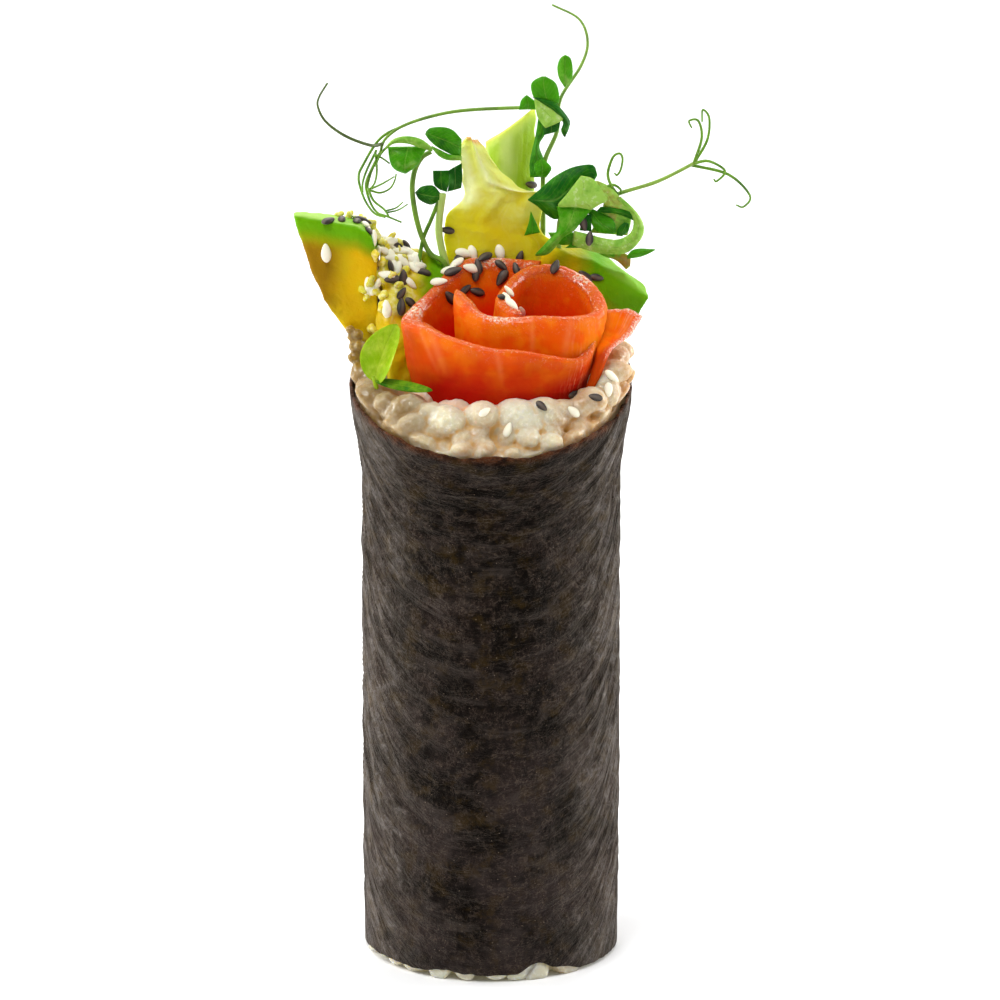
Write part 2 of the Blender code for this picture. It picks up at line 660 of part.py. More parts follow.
def strewn(piece, spots, neighbours, first):
    """Fuses seeds on where they fall on the piece, and leaves out those that would touch a neighbour."""
    draw = random.Random(first)
    ground = tree_of(piece)
    others = [tree_of(other) for other in neighbours]
    seeds = []
    for x, z in spots:
        spot, normal, _, _ = ground.ray_cast(place(x, 0, z) - STREW_LINE, STREW_LINE)
        if spot is None:
            continue
        turn = normal.to_track_quat("Z", "Y").to_matrix() @ turned_by(draw, 0.3)
        room = ellipsoid("room", spot, SEED + Vector((GAP, GAP, GAP)) * 3, turn)
        space = tree_of(room)
        bpy.data.objects.remove(room)
        if not any(space.overlap(other) for other in others):
            seeds.append(ellipsoid("seed", spot + normal * SEED.z / 5, SEED, turn))
    return boolean(piece, "UNION", seeds)


def finish(piece, colour, roughness, collection):
    """Moves a finished sub-part to the object's collection and gives it its material."""
    piece.data.materials.clear()
    piece.data.materials.append(material(piece.name, colour, roughness))
    piece.data.name = piece.name
    for old in list(piece.users_collection):
        old.objects.unlink(piece)
    collection.objects.link(piece)


def main():
    for old in list(bpy.data.objects):
        bpy.data.objects.remove(old)
    roll = bpy.data.collections.new("smoked_salmon_hand_roll")
    bpy.context.scene.collection.children.link(roll)

    rose = salmon_rose()
    flap = clear_of(salmon_flap(), rose)
    left_shoot, top_shoot, right_shoot, sprout = shoot_left(), shoot_top(), shoot_right(), sprout_front()
    front_leaf = clear_of(lettuce_front(), rose, left_shoot, right_shoot)
    back_leaf = clear_of(lettuce_back(), front_leaf, top_shoot)
    middle = clear_of(avocado_middle(), rose, front_leaf, back_leaf, left_shoot)
    left = clear_of(avocado_left(), middle)
    right = clear_of(avocado_right(), rose, flap, front_leaf, back_leaf, top_shoot, right_shoot)
    nori = nori_wrap()
    fillings = [rose, flap, middle, left, right, front_leaf, back_leaf]
    greens = [left_shoot, top_shoot, right_shoot, sprout]
    heap = clear_of(rice(), nori, *fillings, *greens)

    everything = [nori, heap] + fillings + greens
    for number, (piece, spots) in enumerate(
        ((rose, ROSE_SEEDS), (left, LEFT_SEEDS), (middle, MIDDLE_SEEDS), (heap, RICE_SEEDS))
    ):
        strewn(piece, spots, [other for other in everything if other is not piece], number)

    finish(nori, (0.016, 0.012, 0.011), 0.5, roll)
    finish(heap, (0.70, 0.64, 0.50), 0.4, roll)
    finish(rose, (0.78, 0.11, 0.02), 0.3, roll)
    finish(flap, (0.80, 0.16, 0.05), 0.3, roll)
    finish(left, (0.62, 0.50, 0.04), 0.4, roll)
    finish(middle, (0.68, 0.55, 0.06), 0.4, roll)
    finish(right, (0.45, 0.52, 0.05), 0.4, roll)
    finish(front_leaf, (0.68, 0.68, 0.22), 0.4, roll)
    finish(back_leaf, (0.42, 0.60, 0.10), 0.4, roll)
    for shoot in (left_shoot, top_shoot, right_shoot):
        finish(shoot, (0.06, 0.26, 0.02), 0.45, roll)
    finish(sprout, (0.24, 0.50, 0.02), 0.4, roll)


main()
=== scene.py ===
"""The looks of a smoked salmon hand roll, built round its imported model.

The roll stands upright on its foot with its front towards -Y. Each piece below stands for one or more
solids of the model, at the same place and size. Lengths are in metres, and points written out are in mm.
"""

import math
import random

import bmesh
import bpy
from mathutils import Euler, Matrix, Vector, noise
from mathutils.bvhtree import BVHTree
from mathutils.kdtree import KDTree


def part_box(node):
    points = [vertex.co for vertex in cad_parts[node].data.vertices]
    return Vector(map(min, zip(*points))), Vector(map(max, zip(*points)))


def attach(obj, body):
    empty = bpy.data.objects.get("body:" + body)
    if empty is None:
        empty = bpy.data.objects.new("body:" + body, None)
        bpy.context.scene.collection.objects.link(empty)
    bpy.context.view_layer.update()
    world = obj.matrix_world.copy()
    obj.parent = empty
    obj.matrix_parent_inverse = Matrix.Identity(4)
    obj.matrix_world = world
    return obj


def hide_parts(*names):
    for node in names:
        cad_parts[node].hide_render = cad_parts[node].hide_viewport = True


bl_info = {
    "name": "Salmon Hand Roll",
    "version": (1, 0, 0),
    "blender": (4, 5, 0),
    "location": "View3D > Sidebar > Hand Roll",
    "description": "Dresses the hand roll's solids with nori, rice, salmon, avocado, leaves and sesame",
    "category": "Add Mesh",
}

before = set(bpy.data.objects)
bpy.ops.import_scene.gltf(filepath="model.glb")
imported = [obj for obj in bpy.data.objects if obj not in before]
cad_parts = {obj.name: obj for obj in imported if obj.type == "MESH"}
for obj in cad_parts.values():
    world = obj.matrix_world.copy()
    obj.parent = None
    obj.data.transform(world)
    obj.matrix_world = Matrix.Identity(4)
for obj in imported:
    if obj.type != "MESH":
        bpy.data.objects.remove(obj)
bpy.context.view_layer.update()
MM = 0.001

# The roll's form, as in the model
NORI_LOW, NORI_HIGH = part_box("nori_wrap")
FLARE_START = 92 * MM
FLARE_END = 112 * MM
RIM_HEIGHT = 111 * MM
RIM_SLOPE = 0.33
SLOPE_START = 85 * MM
NORI_SEAM = math.radians(60)
NORI_TURNS = 1.2
GAP = 0.3 * MM
CAVITY_RADIUS = 14 * MM
# The nori's ragged lower edge: angle in degrees from the right-hand side, and height in mm
NORI_FOOT = (
    (0, 0.6), (40, 1.4), (90, 1.0), (140, 1.7), (180, 1.1), (205, 1.5), (222, 1.6), (235, 1.3),
    (249, 1.9), (269, 1.3), (281, 1.5), (291, 3.4), (302, 1.8), (317, 0.6), (333, 0.6), (360, 0.6),
)

# The camera, and the direction that it looks in. The seeds are strewn along it, from SIGHT_START in front
CAMERA_TARGET = Vector((1.7, 0, 87)) * MM
CAMERA_DISTANCE = 1.2
CAMERA_LIFT = math.radians(15.5)
CAMERA_LENS = 231.1
CAMERA_SENSOR = 36
CAMERA_REACH = 50
SIGHT = Vector((0, math.cos(CAMERA_LIFT), -math.sin(CAMERA_LIFT)))
SIGHT_START = 0.3

# The fineness of the forms: points each way, the cells of fused forms, and how close points merge
NORI_GRID = (360, 130)
LEAF_GRID = (22, 28)
RICE_CELL = 0.32 * MM
AVOCADO_CELL = 0.5 * MM
MERGE_REACH = 0.000002

# What the random draws of the rice, the crumbs and the seeds start from
RICE_DRAW = 21
CRUMB_DRAW = 4
SEED_DRAW = 8


def srgb(red, green, blue):
    """A colour as a screen shows it, 0 to 255, in the linear values that a shader takes."""
    return tuple(((value / 255 + 0.055) / 1.055) ** 2.4 for value in (red, green, blue))


def length_property(name, description, length):
    """A length that a user can change, given in millimetres."""
    return bpy.props.FloatProperty(name=name, description=description, default=length * MM, unit="LENGTH")


class HandRollSizes(bpy.types.PropertyGroup):
    """The sizes that a user of the roll would change."""

    roll_radius: length_property("Roll radius", "Outside radius of the nori below its flare", 24)
    mouth_flare: length_property("Mouth flare", "How much wider the nori is at its mouth", 2.3)
    nori_thickness: length_property("Nori thickness", "Thickness of the nori sheet", 0.5)
    grain_length: length_property("Rice grain length", "Length of a cooked grain of rice", 6.2)
    grain_width: length_property("Rice grain width", "Width of a cooked grain of rice", 4.1)
    slice_thickness: length_property("Salmon thickness", "Thickness of a slice of salmon", 2.7)
    leaf_thickness: length_property("Leaf thickness", "Thickness of a pea shoot's leaf", 0.4)
    stem_thickness: length_property("Stem thickness", "Thickness of a pea shoot's main stem", 0.95)
    seed_length: length_property("Seed length", "Length of a sesame seed", 3.1)


def colour_property(name, description, colour):
    """A colour that a user can change, given as a screen shows it."""
    return bpy.props.FloatVectorProperty(
        name=name, description=description, default=srgb(*colour), subtype="COLOR", size=3, min=0, max=1
    )


class HandRollColours(bpy.types.PropertyGroup):
    """The colours that a user of the roll would change."""

    nori: colour_property("Nori", "The nori's darkest parts", (13, 8, 4))
    nori_fibre: colour_property("Nori fibres", "The paler fibres in the nori", (98, 84, 72))
    rice: colour_property("Rice", "Cooked rice", (214, 210, 190))
    salmon: colour_property("Salmon", "The salmon's faces", (238, 94, 0))
    salmon_deep: colour_property("Deep salmon", "The salmon low down and in its hollows", (180, 22, 8))
    salmon_rim: colour_property("Salmon rim", "The slices' cut edges", (226, 94, 44))
    avocado: colour_property("Avocado", "The avocado's yellow flesh", (220, 190, 14))
    avocado_skin: colour_property("Avocado skin side", "The flesh next to the skin", (104, 168, 4))
    lettuce_pale: colour_property("Pale lettuce", "The inner leaf", (220, 224, 110))
    lettuce_green: colour_property("Green lettuce", "The outer leaf", (152, 182, 28))
    leaf: colour_property("Leaf", "A pea shoot's leaf", (66, 146, 4))
    leaf_dark: colour_property("Dark leaf", "A shaded leaf", (12, 84, 10))
    leaf_light: colour_property("Light leaf", "The pale underside of a leaf", (156, 198, 82))
    stem: colour_property("Stem", "A pea shoot's stem", (104, 148, 34))
    sesame_black: colour_property("Black sesame", "Black sesame seeds", (46, 38, 34))
    sesame_white: colour_property("White sesame", "White sesame seeds", (250, 243, 218))


# Shader building

class Socket:
    """A value in a shader tree. Arithmetic on it adds Math nodes."""

    def __init__(self, shader, link):
        self.shader = shader
        self.link = link

    def math(self, operation, *others, swapped=False, clamp=False):
        """A Math node that takes this value first, or last if swapped."""
        values = [self, *others]
        if swapped:
            values.reverse()
        settings = {"operation": operation, "use_clamp": clamp}
        return self.shader.output(self.shader.node("Math", settings, dict(enumerate(values))), 0)

    def __add__(self, other):
        return self.math("ADD", other)

    def __sub__(self, other):
        return self.math("SUBTRACT", other)

    def __rsub__(self, other):
        return self.math("SUBTRACT", other, swapped=True)

    def __mul__(self, other):
        return self.math("MULTIPLY", other)

    def __truediv__(self, other):
        return self.math("DIVIDE", other)

    def __abs__(self):
        return self.math("ABSOLUTE")

    __radd__ = __add__
    __rmul__ = __mul__

    def clamped(self):
        """This value held between 0 and 1."""
        return self.math("ADD", 0, clamp=True)

    def step(self, low, high):
        """0 below low, 1 above high and smooth between; high may be the lower one."""
        turned = low > high
        inputs = {"Value": self, "From Min": min(low, high), "From Max": max(low, high)}
        inputs.update({"To Min": float(turned), "To Max": float(not turned)})
        made = self.shader.node("MapRange", {"interpolation_type": "SMOOTHSTEP"}, inputs)
        return self.shader.output(made, "Result")


class Shader:
    """A shader tree, and the one method that adds its nodes."""

    def __init__(self, tree):
        self.tree = tree

    def node(self, kind, settings, inputs):
        """A node of this kind, its settings made first, then its sockets' values and links."""
        made = self.tree.nodes.new("ShaderNode" + kind)
        for name, value in settings.items():
            setattr(made, name, value)
        for name, value in inputs.items():
            self.feed(made.inputs[name], value)
        return made

    def feed(self, place_in, value):
        """Gives a socket a value or a link."""
        if isinstance(value, Socket):
            self.tree.links.new(value.link, place_in)
        elif place_in.type == "RGBA":
            place_in.default_value = (*value, 1)
        else:
            place_in.default_value = value

    def output(self, made, name):
        """One of a node's outputs, to build on."""
        return Socket(self, made.outputs[name])


class Finish(Shader):
    """A material: one Principled shader, and the nodes that feed it."""

    def __init__(self, name, gloss, depth=None, **sockets):
        """gloss: the specular level. depth: how much light sinks in, its reach by colour, and how far in mm.

        sockets: the shader's other fixed values, each under its socket's name."""
        self.material = bpy.data.materials.new(name)
        self.material.use_nodes = True
        super().__init__(self.material.node_tree)
        self.principled = self.tree.nodes["Principled BSDF"]
        self.set("Specular IOR Level", gloss)
        if depth:
            weight, reach, scale = depth
            self.set("Subsurface Weight", weight)
            self.set("Subsurface Radius", reach)
            self.set("Subsurface Scale", scale * MM)
        for socket, value in sockets.items():
            self.set(socket.replace("_", " ").title(), value)

    def set(self, socket, value):
        """Gives one of the Principled shader's sockets a value or a link."""
        self.feed(self.principled.inputs[socket], value)

    def attribute(self, name):
        """A number that the mesh carries at each point."""
        return self.output(self.node("Attribute", {"attribute_name": name}, {}), "Fac")

    def place(self):
        """The point on the piece, in metres."""
        return self.output(self.node("TexCoord", {}, {}), "Object")

    def vector(self, x, y):
        """A flat vector of two numbers."""
        return self.output(self.node("CombineXYZ", {}, {"X": x, "Y": y}), "Vector")

    def scaled(self, vector, by):
        """A vector with each of its numbers multiplied."""
        return self.output(self.node("VectorMath", {"operation": "MULTIPLY"}, {0: vector, 1: by}), 0)

    def noise(self, vector, size, detail=3.0, rough=0.5, distortion=0.0, stretch=(1, 1, 1)):
        """Soft noise whose spots are about this size, in the vector's own units, drawn out by stretch."""
        inputs = {"Vector": self.scaled(vector, [1 / (size * draw) for draw in stretch]), "Scale": 1}
        inputs.update({"Detail": detail, "Roughness": rough, "Distortion": distortion})
        return self.output(self.node("TexNoise", {}, inputs), 0)

    def threads(self, vector, size, sharpness, stretch=(1, 1, 1), distortion=0.6):
        """Thin winding lines."""
        base = self.noise(vector, size, 2.0, 0.5, distortion, stretch)
        return (1 - abs(base - 0.5) * sharpness).clamped()

    def cells(self, vector, size):
        """Distance from the nearest of the points that are strewn about this far apart."""
        inputs = {"Vector": self.scaled(vector, [1 / size] * 3), "Scale": 1}
        return self.output(self.node("TexVoronoi", {}, inputs), 0)

    def mix(self, factor, low, high):
        """A colour between two."""
        return self.output(self.node("Mix", {"data_type": "RGBA"}, {0: factor, 6: low, 7: high}), 2)

    def finish(self, colour, roughness, height=None, depth=0.0001):
        """Feeds the shader: colour, roughness, and a relief as deep as depth in metres."""
        self.set("Base Color", colour)
        self.set("Roughness", roughness)
        if height is not None:
            relief = self.node("Bump", {}, {"Height": height, "Distance": depth, "Strength": 1.0})
            self.set("Normal", self.output(relief, "Normal"))
        return self.material


# Modelling helpers

def place(x, y, z):
    """A point given in millimetres."""
    return Vector((x, y, z)) * MM


def hump(value, middle, width):
    """1 at the middle, and nearly 0 from twice the width away."""
    return math.exp(-((value - middle) / width) ** 2)


def tapered(fraction, start, length):
    """How thick a sheet is towards its end: 1 up to start, then rounded off to 0 over this length."""
    return math.sqrt(max(0.0, 1 - max(0.0, (fraction - start) / length) ** 2)) if fraction < 1 else 0.0


def eased(value):
    """0 below 0, 1 above 1 and a smooth step between."""
    value = min(max(value, 0.0), 1.0)
    return value * value * (3 - 2 * value)


def between(value, low, high):
    """A smooth step from 0 at low to 1 at high."""
    return eased((value - low) / (high - low))


def ripple(point, size, seed=0.0):
    """Smooth noise from -1 to 1 whose bumps are about this size."""
    return noise.noise(Vector(point) / size + Vector((seed, 1.7 * seed, 0.3 * seed)))


def smooth(corners, steps):
    """Points in metres along a smooth curve through corners given in millimetres."""
    corners = [place(*corner) for corner in corners]
    ends = [2 * corners[0] - corners[1]] + corners + [2 * corners[-1] - corners[-2]]
    points = []
    for before, start, end, after in zip(ends, ends[1:], ends[2:], ends[3:]):
        for step in range(steps):
            t = step / steps
            bend = (2 * before - 5 * start + 4 * end - after) * t * t
            turn = (3 * start - before - 3 * end + after) * t ** 3
            points.append((2 * start + (end - before) * t + bend + turn) / 2)
    return points + [corners[-1]]


def along(points, fraction):
    """The point at this fraction of a list of points."""
    position = min(max(fraction, 0.0), 1.0) * (len(points) - 1)
    index = min(int(position), len(points) - 2)
    return points[index].lerp(points[index + 1], position - index)


def even(points, count):
    """This many points at equal steps along a line of points."""
    reach = [0.0]
    for start, end in zip(points, points[1:]):
        reach.append(reach[-1] + (end - start).length)
    spaced, index = [], 0
    for step in range(count):
        target = reach[-1] * step / (count - 1)
        while index < len(points) - 2 and reach[index + 1] < target:
            index += 1
        share = (target - reach[index]) / (reach[index + 1] - reach[index])
        spaced.append(points[index].lerp(points[index + 1], share))
    return spaced


def relaxed(points, times):
    """A line of points with its corners rounded off."""
    for _ in range(times):
        triples = zip(points, points[1:], points[2:])
        middle = [(before + 2 * spot + after) / 4 for before, spot, after in triples]
        points = [points[0], *middle, points[-1]]
    return points


def active(piece):
    """Selects this piece alone."""
    bpy.ops.object.select_all(action="DESELECT")
    piece.select_set(True)
    bpy.context.view_layer.objects.active = piece
    return piece


def named(piece, name):
    """Names a piece and its mesh."""
    piece.name = name
    piece.data.name = name
    return piece


def primitive(name, add, **settings):
    """Adds one of the basic forms with nothing else selected."""
    bpy.ops.object.select_all(action="DESELECT")
    add(**settings)
    return named(bpy.context.object, name)


def grid(name, columns, rows):
    """A flat grid that runs from 0 to 1 both ways, ready to be shaped."""
    steps = {"x_subdivisions": columns, "y_subdivisions": rows}
    piece = primitive(name, bpy.ops.mesh.primitive_grid_add, size=1, location=(0.5, 0.5, 0), **steps)
    bpy.ops.object.transform_apply(location=True)
    return piece


def shaped(piece, place_of, marks_of=None):
    """Moves each point (u, v) of a grid to place_of(u, v) and notes the numbers that marks_of(u, v) gives."""
    spots = [(vertex.co.x, vertex.co.y) for vertex in piece.data.vertices]
    for vertex, (u, v) in zip(piece.data.vertices, spots):
        vertex.co = place_of(u, v)
    if marks_of:
        noted(piece, [marks_of(u, v) for u, v in spots])
    piece.data.update()
    return piece


def marked(piece, name, values):
    """Stores a number at each point of a mesh, for its material."""
    store = piece.data.attributes.get(name) or piece.data.attributes.new(name, "FLOAT", "POINT")
    store.data.foreach_set("value", values)
    return piece


def noted(piece, marks):
    """Stores numbers for a mesh's points, given as a dictionary for each point."""
    for mark in marks[0]:
        marked(piece, mark, [values[mark] for values in marks])
    return piece


def closed(piece):
    """Merges points that coincide and turns the faces outwards."""
    active(piece)
    bpy.ops.object.mode_set(mode="EDIT")
    bpy.ops.mesh.select_all(action="SELECT")
    bpy.ops.mesh.remove_doubles(threshold=MERGE_REACH)
    bpy.ops.mesh.normals_make_consistent(inside=False)
    bpy.ops.object.mode_set(mode="OBJECT")
    return piece


def modified(piece, kind, **settings):
    """Adds a modifier and applies it."""
    active(piece)
    added = piece.modifiers.new(kind.lower(), kind)
    for name, value in settings.items():
        setattr(added, name, value)
    bpy.ops.object.modifier_apply(modifier=added.name)
    return piece


def released(form, name):
    """A piece with the mesh of a bmesh, which is freed."""
    mesh = bpy.data.meshes.new(name)
    form.to_mesh(mesh)
    form.free()
    piece = bpy.data.objects.new(name, mesh)
    bpy.context.scene.collection.objects.link(piece)
    return piece


def joined(name, pieces):
    """Joins pieces into one."""
    active(pieces[0])
    for piece in pieces:
        piece.select_set(True)
    bpy.ops.object.join()
    return named(pieces[0], name)


def copies(name, template, places, marks=None):
    """Copies of a template at each matrix, as one mesh; marks gives each copy a number for the material."""
    form = bmesh.new()
    for index, matrix in enumerate(places):
        copy = template.data.copy()
        copy.transform(matrix)
        if marks:
            for mark, numbers in marks.items():
                store = copy.attributes.new(mark, "FLOAT", "POINT")
                store.data.foreach_set("value", [numbers[index]] * len(copy.vertices))
        form.from_mesh(copy)
        bpy.data.meshes.remove(copy)
    return released(form, name)


def hull(name, points):
    """The convex hull of points."""
    form = bmesh.new()
    for point in points:
        form.verts.new(point)
    made = bmesh.ops.convex_hull(form, input=form.verts)
    inside = [item for item in made["geom_interior"] if isinstance(item, bmesh.types.BMVert)]
    bmesh.ops.delete(form, geom=inside, context="VERTS")
    return released(form, name)


def skin(v, flatness=0.5):
    """A point round the section of a thin closed sheet: how far across, 0 to 1, and its side, -1 to 1."""
    turn = 2 * math.pi * v
    return (1 - math.cos(turn)) / 2, math.copysign(abs(math.sin(turn)) ** flatness, math.sin(turn))


def tree_of(piece):
    """A piece's surface, to find where lines and points meet it."""
    corners = [vertex.co.copy() for vertex in piece.data.vertices]
    return BVHTree.FromPolygons(corners, [tuple(face.vertices) for face in piece.data.polygons])


def struck(trees, x, z):
    """Where the line of sight through a point of the plane y = 0 first meets a surface, with its normal."""
    start = place(x, 0, z) - SIGHT * SIGHT_START
    hits = [tree.ray_cast(start, SIGHT) for tree in trees]
    hits = [hit for hit in hits if hit[0] is not None]
    return min(hits, key=lambda hit: hit[3]) if hits else None


def leaning(draw, lean, turn, start=0.0):
    """A random tilt of up to lean both ways, with a turn of up to turn past start."""
    tilt = (draw.uniform(-lean, lean), draw.uniform(-lean, lean))
    return Euler((*tilt, start + draw.uniform(0, turn))).to_matrix()


def laid(point, turn, form):
    """The matrix that puts a small thing at a point, turned and given its form."""
    return Matrix.Translation(point) @ turn.to_4x4() @ form


def painted(piece, marks_of):
    """Notes numbers at each point of a finished form, worked out from its place in mm."""
    return noted(piece, [marks_of(*(vertex.co / MM)) for vertex in piece.data.vertices])


def roughened(piece, size, height, seed=0.0):
    """Raises and lowers a surface by smooth noise."""
    normals = [vertex.normal.copy() for vertex in piece.data.vertices]
    for vertex, normal in zip(piece.data.vertices, normals):
        vertex.co += normal * height * ripple(vertex.co, size, seed)
    piece.data.update()
    return piece


def done(piece, finish, slot, *nodes):
    """Gives a finished piece its material and smooth shading, hangs it under the root body and hides the
    solids that it stands for.
    """
    piece.data.materials.clear()
    piece.data.materials.append(finish)
    active(piece)
    bpy.ops.object.shade_smooth()
    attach(piece, "root")
    if nodes:
        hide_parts(*nodes)
    return piece


# The roll's shape

def roll_radius(z):
    """Outside radius of the nori at this height."""
    sizes = bpy.context.scene.hand_roll_sizes
    return sizes.roll_radius + sizes.mouth_flare * between(z, FLARE_START, FLARE_END)


def slanted(z, y):
    """A height on the upright roll moved to where the slanted mouth puts it."""
    share = max(0.0, (z - SLOPE_START) / (RIM_HEIGHT - SLOPE_START))
    return z + share * RIM_SLOPE * y


def on_ring(radius, angle, z):
    """A point of the roll, with the mouth's slant."""
    y = radius * math.sin(angle)
    return Vector((radius * math.cos(angle), y, slanted(z, y)))


def foot_height(angle):
    """Height of the nori's ragged lower edge at this angle."""
    turn = math.degrees(angle) % 360
    for (start, low), (end, high) in zip(NORI_FOOT, NORI_FOOT[1:]):
        if turn <= end:
            return (low + (high - low) * eased((turn - start) / (end - start))) * MM
    return NORI_FOOT[-1][1] * MM


def stick(name, top, planes):
    """The part of a filling inside the roll: a cylinder cut by upright planes, each (point, normal)."""
    form = {"vertices": 72, "radius": CAVITY_RADIUS - GAP, "depth": top, "location": (0, 0, top / 2)}
    piece = primitive(name, bpy.ops.mesh.primitive_cylinder_add, **form)
    bpy.ops.object.transform_apply(location=True)
    bpy.ops.object.mode_set(mode="EDIT")
    for point, normal in planes:
        bpy.ops.mesh.select_all(action="SELECT")
        bpy.ops.mesh.bisect(
            plane_co=Vector((*point, 0)) * MM, plane_no=(*normal, 0), use_fill=True, clear_outer=True
        )
    bpy.ops.object.mode_set(mode="OBJECT")
    return piece


# Nori

def nori_finish():
    """Roasted seaweed: nearly black, matted with paler fibres, painted greyer along its creases and streaks
    at the left and right sides as a sheen, brown at its rim.
    """
    colours = bpy.context.scene.hand_roll_colours
    look = Finish("nori", 0.025, sheen_weight=0.17, sheen_roughness=0.3, sheen_tint=srgb(226, 212, 196))
    run, rise, side = look.attribute("run"), look.attribute("rise"), look.attribute("side")
    spot = look.vector(run, rise)
    clouds = look.noise(spot, 11, 4, 0.6)
    mottle = look.noise(spot, 2.4, 6, 0.72)
    wide = look.threads(spot, 2.4, 42)
    fine = look.threads(spot, 1.3, 28, (1.5, 1, 1), 1.2)
    finest = look.threads(spot, 0.8, 16, (1, 2, 1), 1.2)
    fibres = ((wide * 0.9 + fine * 0.9 + finest * 0.5) * mottle.step(0.42, 0.6)).clamped()
    haze = (clouds * 0.6 + mottle * 0.5).step(0.48, 0.68)
    dark = look.mix(haze, colours.nori, srgb(40, 30, 26))
    olive = look.mix(look.noise(spot, 5, 5, 0.65).step(0.5, 0.66) * 0.8, dark, srgb(54, 40, 14))
    colour = look.mix(fibres * (0.3 + haze * 0.4), olive, colours.nori_fibre)
    crease = look.vector(look.attribute("crease"), run)
    streaks = look.noise(crease, 1.5, 6, 0.66, 0.9, (1, 4, 1))
    hairs = look.noise(crease, 0.5, 3, 0.7, 0.6, (1, 5, 1))
    patch = look.noise(spot, 6, 4, 0.6).step(0.3, 0.62)
    folds = look.noise(crease, 4.5, 5, 0.6, 0.8, (1, 2.5, 1))
    # Painted sheen: the raised folds and streaks towards the left and right sides are painted pale grey,
    # where light would catch them.
    hairy = hairs.step(0.35, 0.62) * 0.4 + fibres * 0.5 + mottle * 0.55
    raised = folds.step(0.46, 0.56) * 0.75 + streaks.step(0.44, 0.62) * 0.6
    streaks_and_sheen = (raised * hairy * (0.45 + patch * 0.6) * side * 1.2).clamped()
    low = rise.step(75, 20) * clouds.step(0.35, 0.6)
    colour = look.mix(low * 0.22, colour, srgb(84, 73, 71))
    # The sides as a whole are painted a little paler too, as sheen.
    colour = look.mix(side * (mottle * 0.2), colour, srgb(112, 98, 86))
    grey = look.mix(mottle.step(0.4, 0.6), srgb(196, 176, 152), srgb(206, 198, 192))
    colour = look.mix(streaks_and_sheen * 0.34, colour, grey)
    wisps = (look.noise(crease, 3.4, 4, 0.6, 0.6, (1, 3, 1)).step(0.5, 0.68) * (0.3 + hairs)).clamped()
    colour = look.mix(wisps * (1 - side) * 0.45, colour, srgb(88, 78, 72))
    specks = look.cells(spot, 1.3).step(0.09, 0.04)
    colour = look.mix(specks * 0.5, colour, srgb(180, 160, 140))
    edge = look.attribute("edge")
    brown = look.mix(mottle.step(0.35, 0.65), srgb(44, 16, 8), srgb(136, 76, 36))
    colour = look.mix((edge * (0.3 + mottle)).clamped(), colour, brown)
    crepe = look.noise(spot, 2.1, 5, 0.66, 0.8, (0.75, 1.3, 1))
    height = fibres * 0.2 + crepe * 1.2 + mottle * 0.5 + streaks * (1.2 + side) + folds * (3 + side * 3)
    return look.finish(colour, 0.36 + mottle * 0.25, height, 0.0008)


def nori_wrap():
    """The sheet of nori, rolled a little more than once round, with wrinkles and a ragged foot."""
    sizes = bpy.context.scene.hand_roll_sizes
    thickness = sizes.nori_thickness

    def spot(u, v):
        turned = u * NORI_TURNS * 2 * math.pi
        angle = NORI_SEAM + turned
        around = Vector((math.cos(angle), math.sin(angle), 0)) * sizes.roll_radius
        foot = foot_height(angle) + 0.25 * MM * ripple(around, 1.5 * MM, 3)
        ragged = 0.6 * ripple(around, 7 * MM, 1) + 0.5 * ripple(around, 1.4 * MM, 2) - 0.7
        rim = RIM_HEIGHT + ragged * MM
        return turned, angle, around, foot + (rim - foot) * v

    def slant(angle, level):
        """The height at which the crease through a point meets the front, to which it runs down."""
        away = abs(math.remainder(angle + math.pi / 2, 2 * math.pi))
        return level - 1.3 * sizes.roll_radius * (away / 2 - math.sin(2 * away) / 4)

    def place_of(u, v):
        turned, angle, around, level = spot(u, v)
        # Near the end of its turn the sheet steps out over its own start
        lap = (thickness + GAP) * eased((turned - 2 * math.pi + 0.4) / 0.3)
        # Upright ridges, creases that run down to the front and a fine crepe, all calmer at both edges
        tall = Vector((around.x, around.y, level / 2))
        across = Vector((slant(angle, level), 0, turned * sizes.roll_radius * 0.3))
        ridge = abs(ripple(tall, 5 * MM, 4)) * 1.6
        crease = abs(ripple(across, 4 * MM, 9)) * 2.2
        calm = min(1, 8 * v, 10 - 9.5 * v)
        depth = 0.25 * min(1, ridge) + 0.55 * min(1, crease) + 0.3 * (1 + ripple(across, 1.7 * MM, 5)) / 2
        radius = roll_radius(level) - thickness / 2 + lap + (0.5 - depth) * calm * MM
        point = on_ring(radius, angle, level)
        point.y = min(max(point.y, NORI_LOW[1] + thickness / 2), NORI_HIGH[1] - thickness / 2)
        return point

    def marks_of(u, v):
        turned, angle, _, level = spot(u, v)
        marks = {"run": turned * sizes.roll_radius / MM, "rise": level / MM}
        marks["crease"] = slant(angle, level) / MM
        # How far round to the left or right side the point is; the painted sheen lies there.
        marks["side"] = between(abs(math.cos(angle)), 0.3, 1.0) ** 1.9
        marks["edge"] = between(level, RIM_HEIGHT - 3 * MM, RIM_HEIGHT) * 0.9
        return marks

    piece = shaped(grid("nori", *NORI_GRID), place_of, marks_of)
    modified(piece, "SOLIDIFY", thickness=thickness, offset=0)
    return closed(piece)


class HANDROLL_OT_nori(bpy.types.Operator):
    """Rolls the nori sheet round the rice"""

    bl_idname = "hand_roll.nori"
    bl_label = "Nori"

    def execute(self, context):
        done(nori_wrap(), nori_finish(), "nori", "nori_wrap")
        return {"FINISHED"}


# Rice

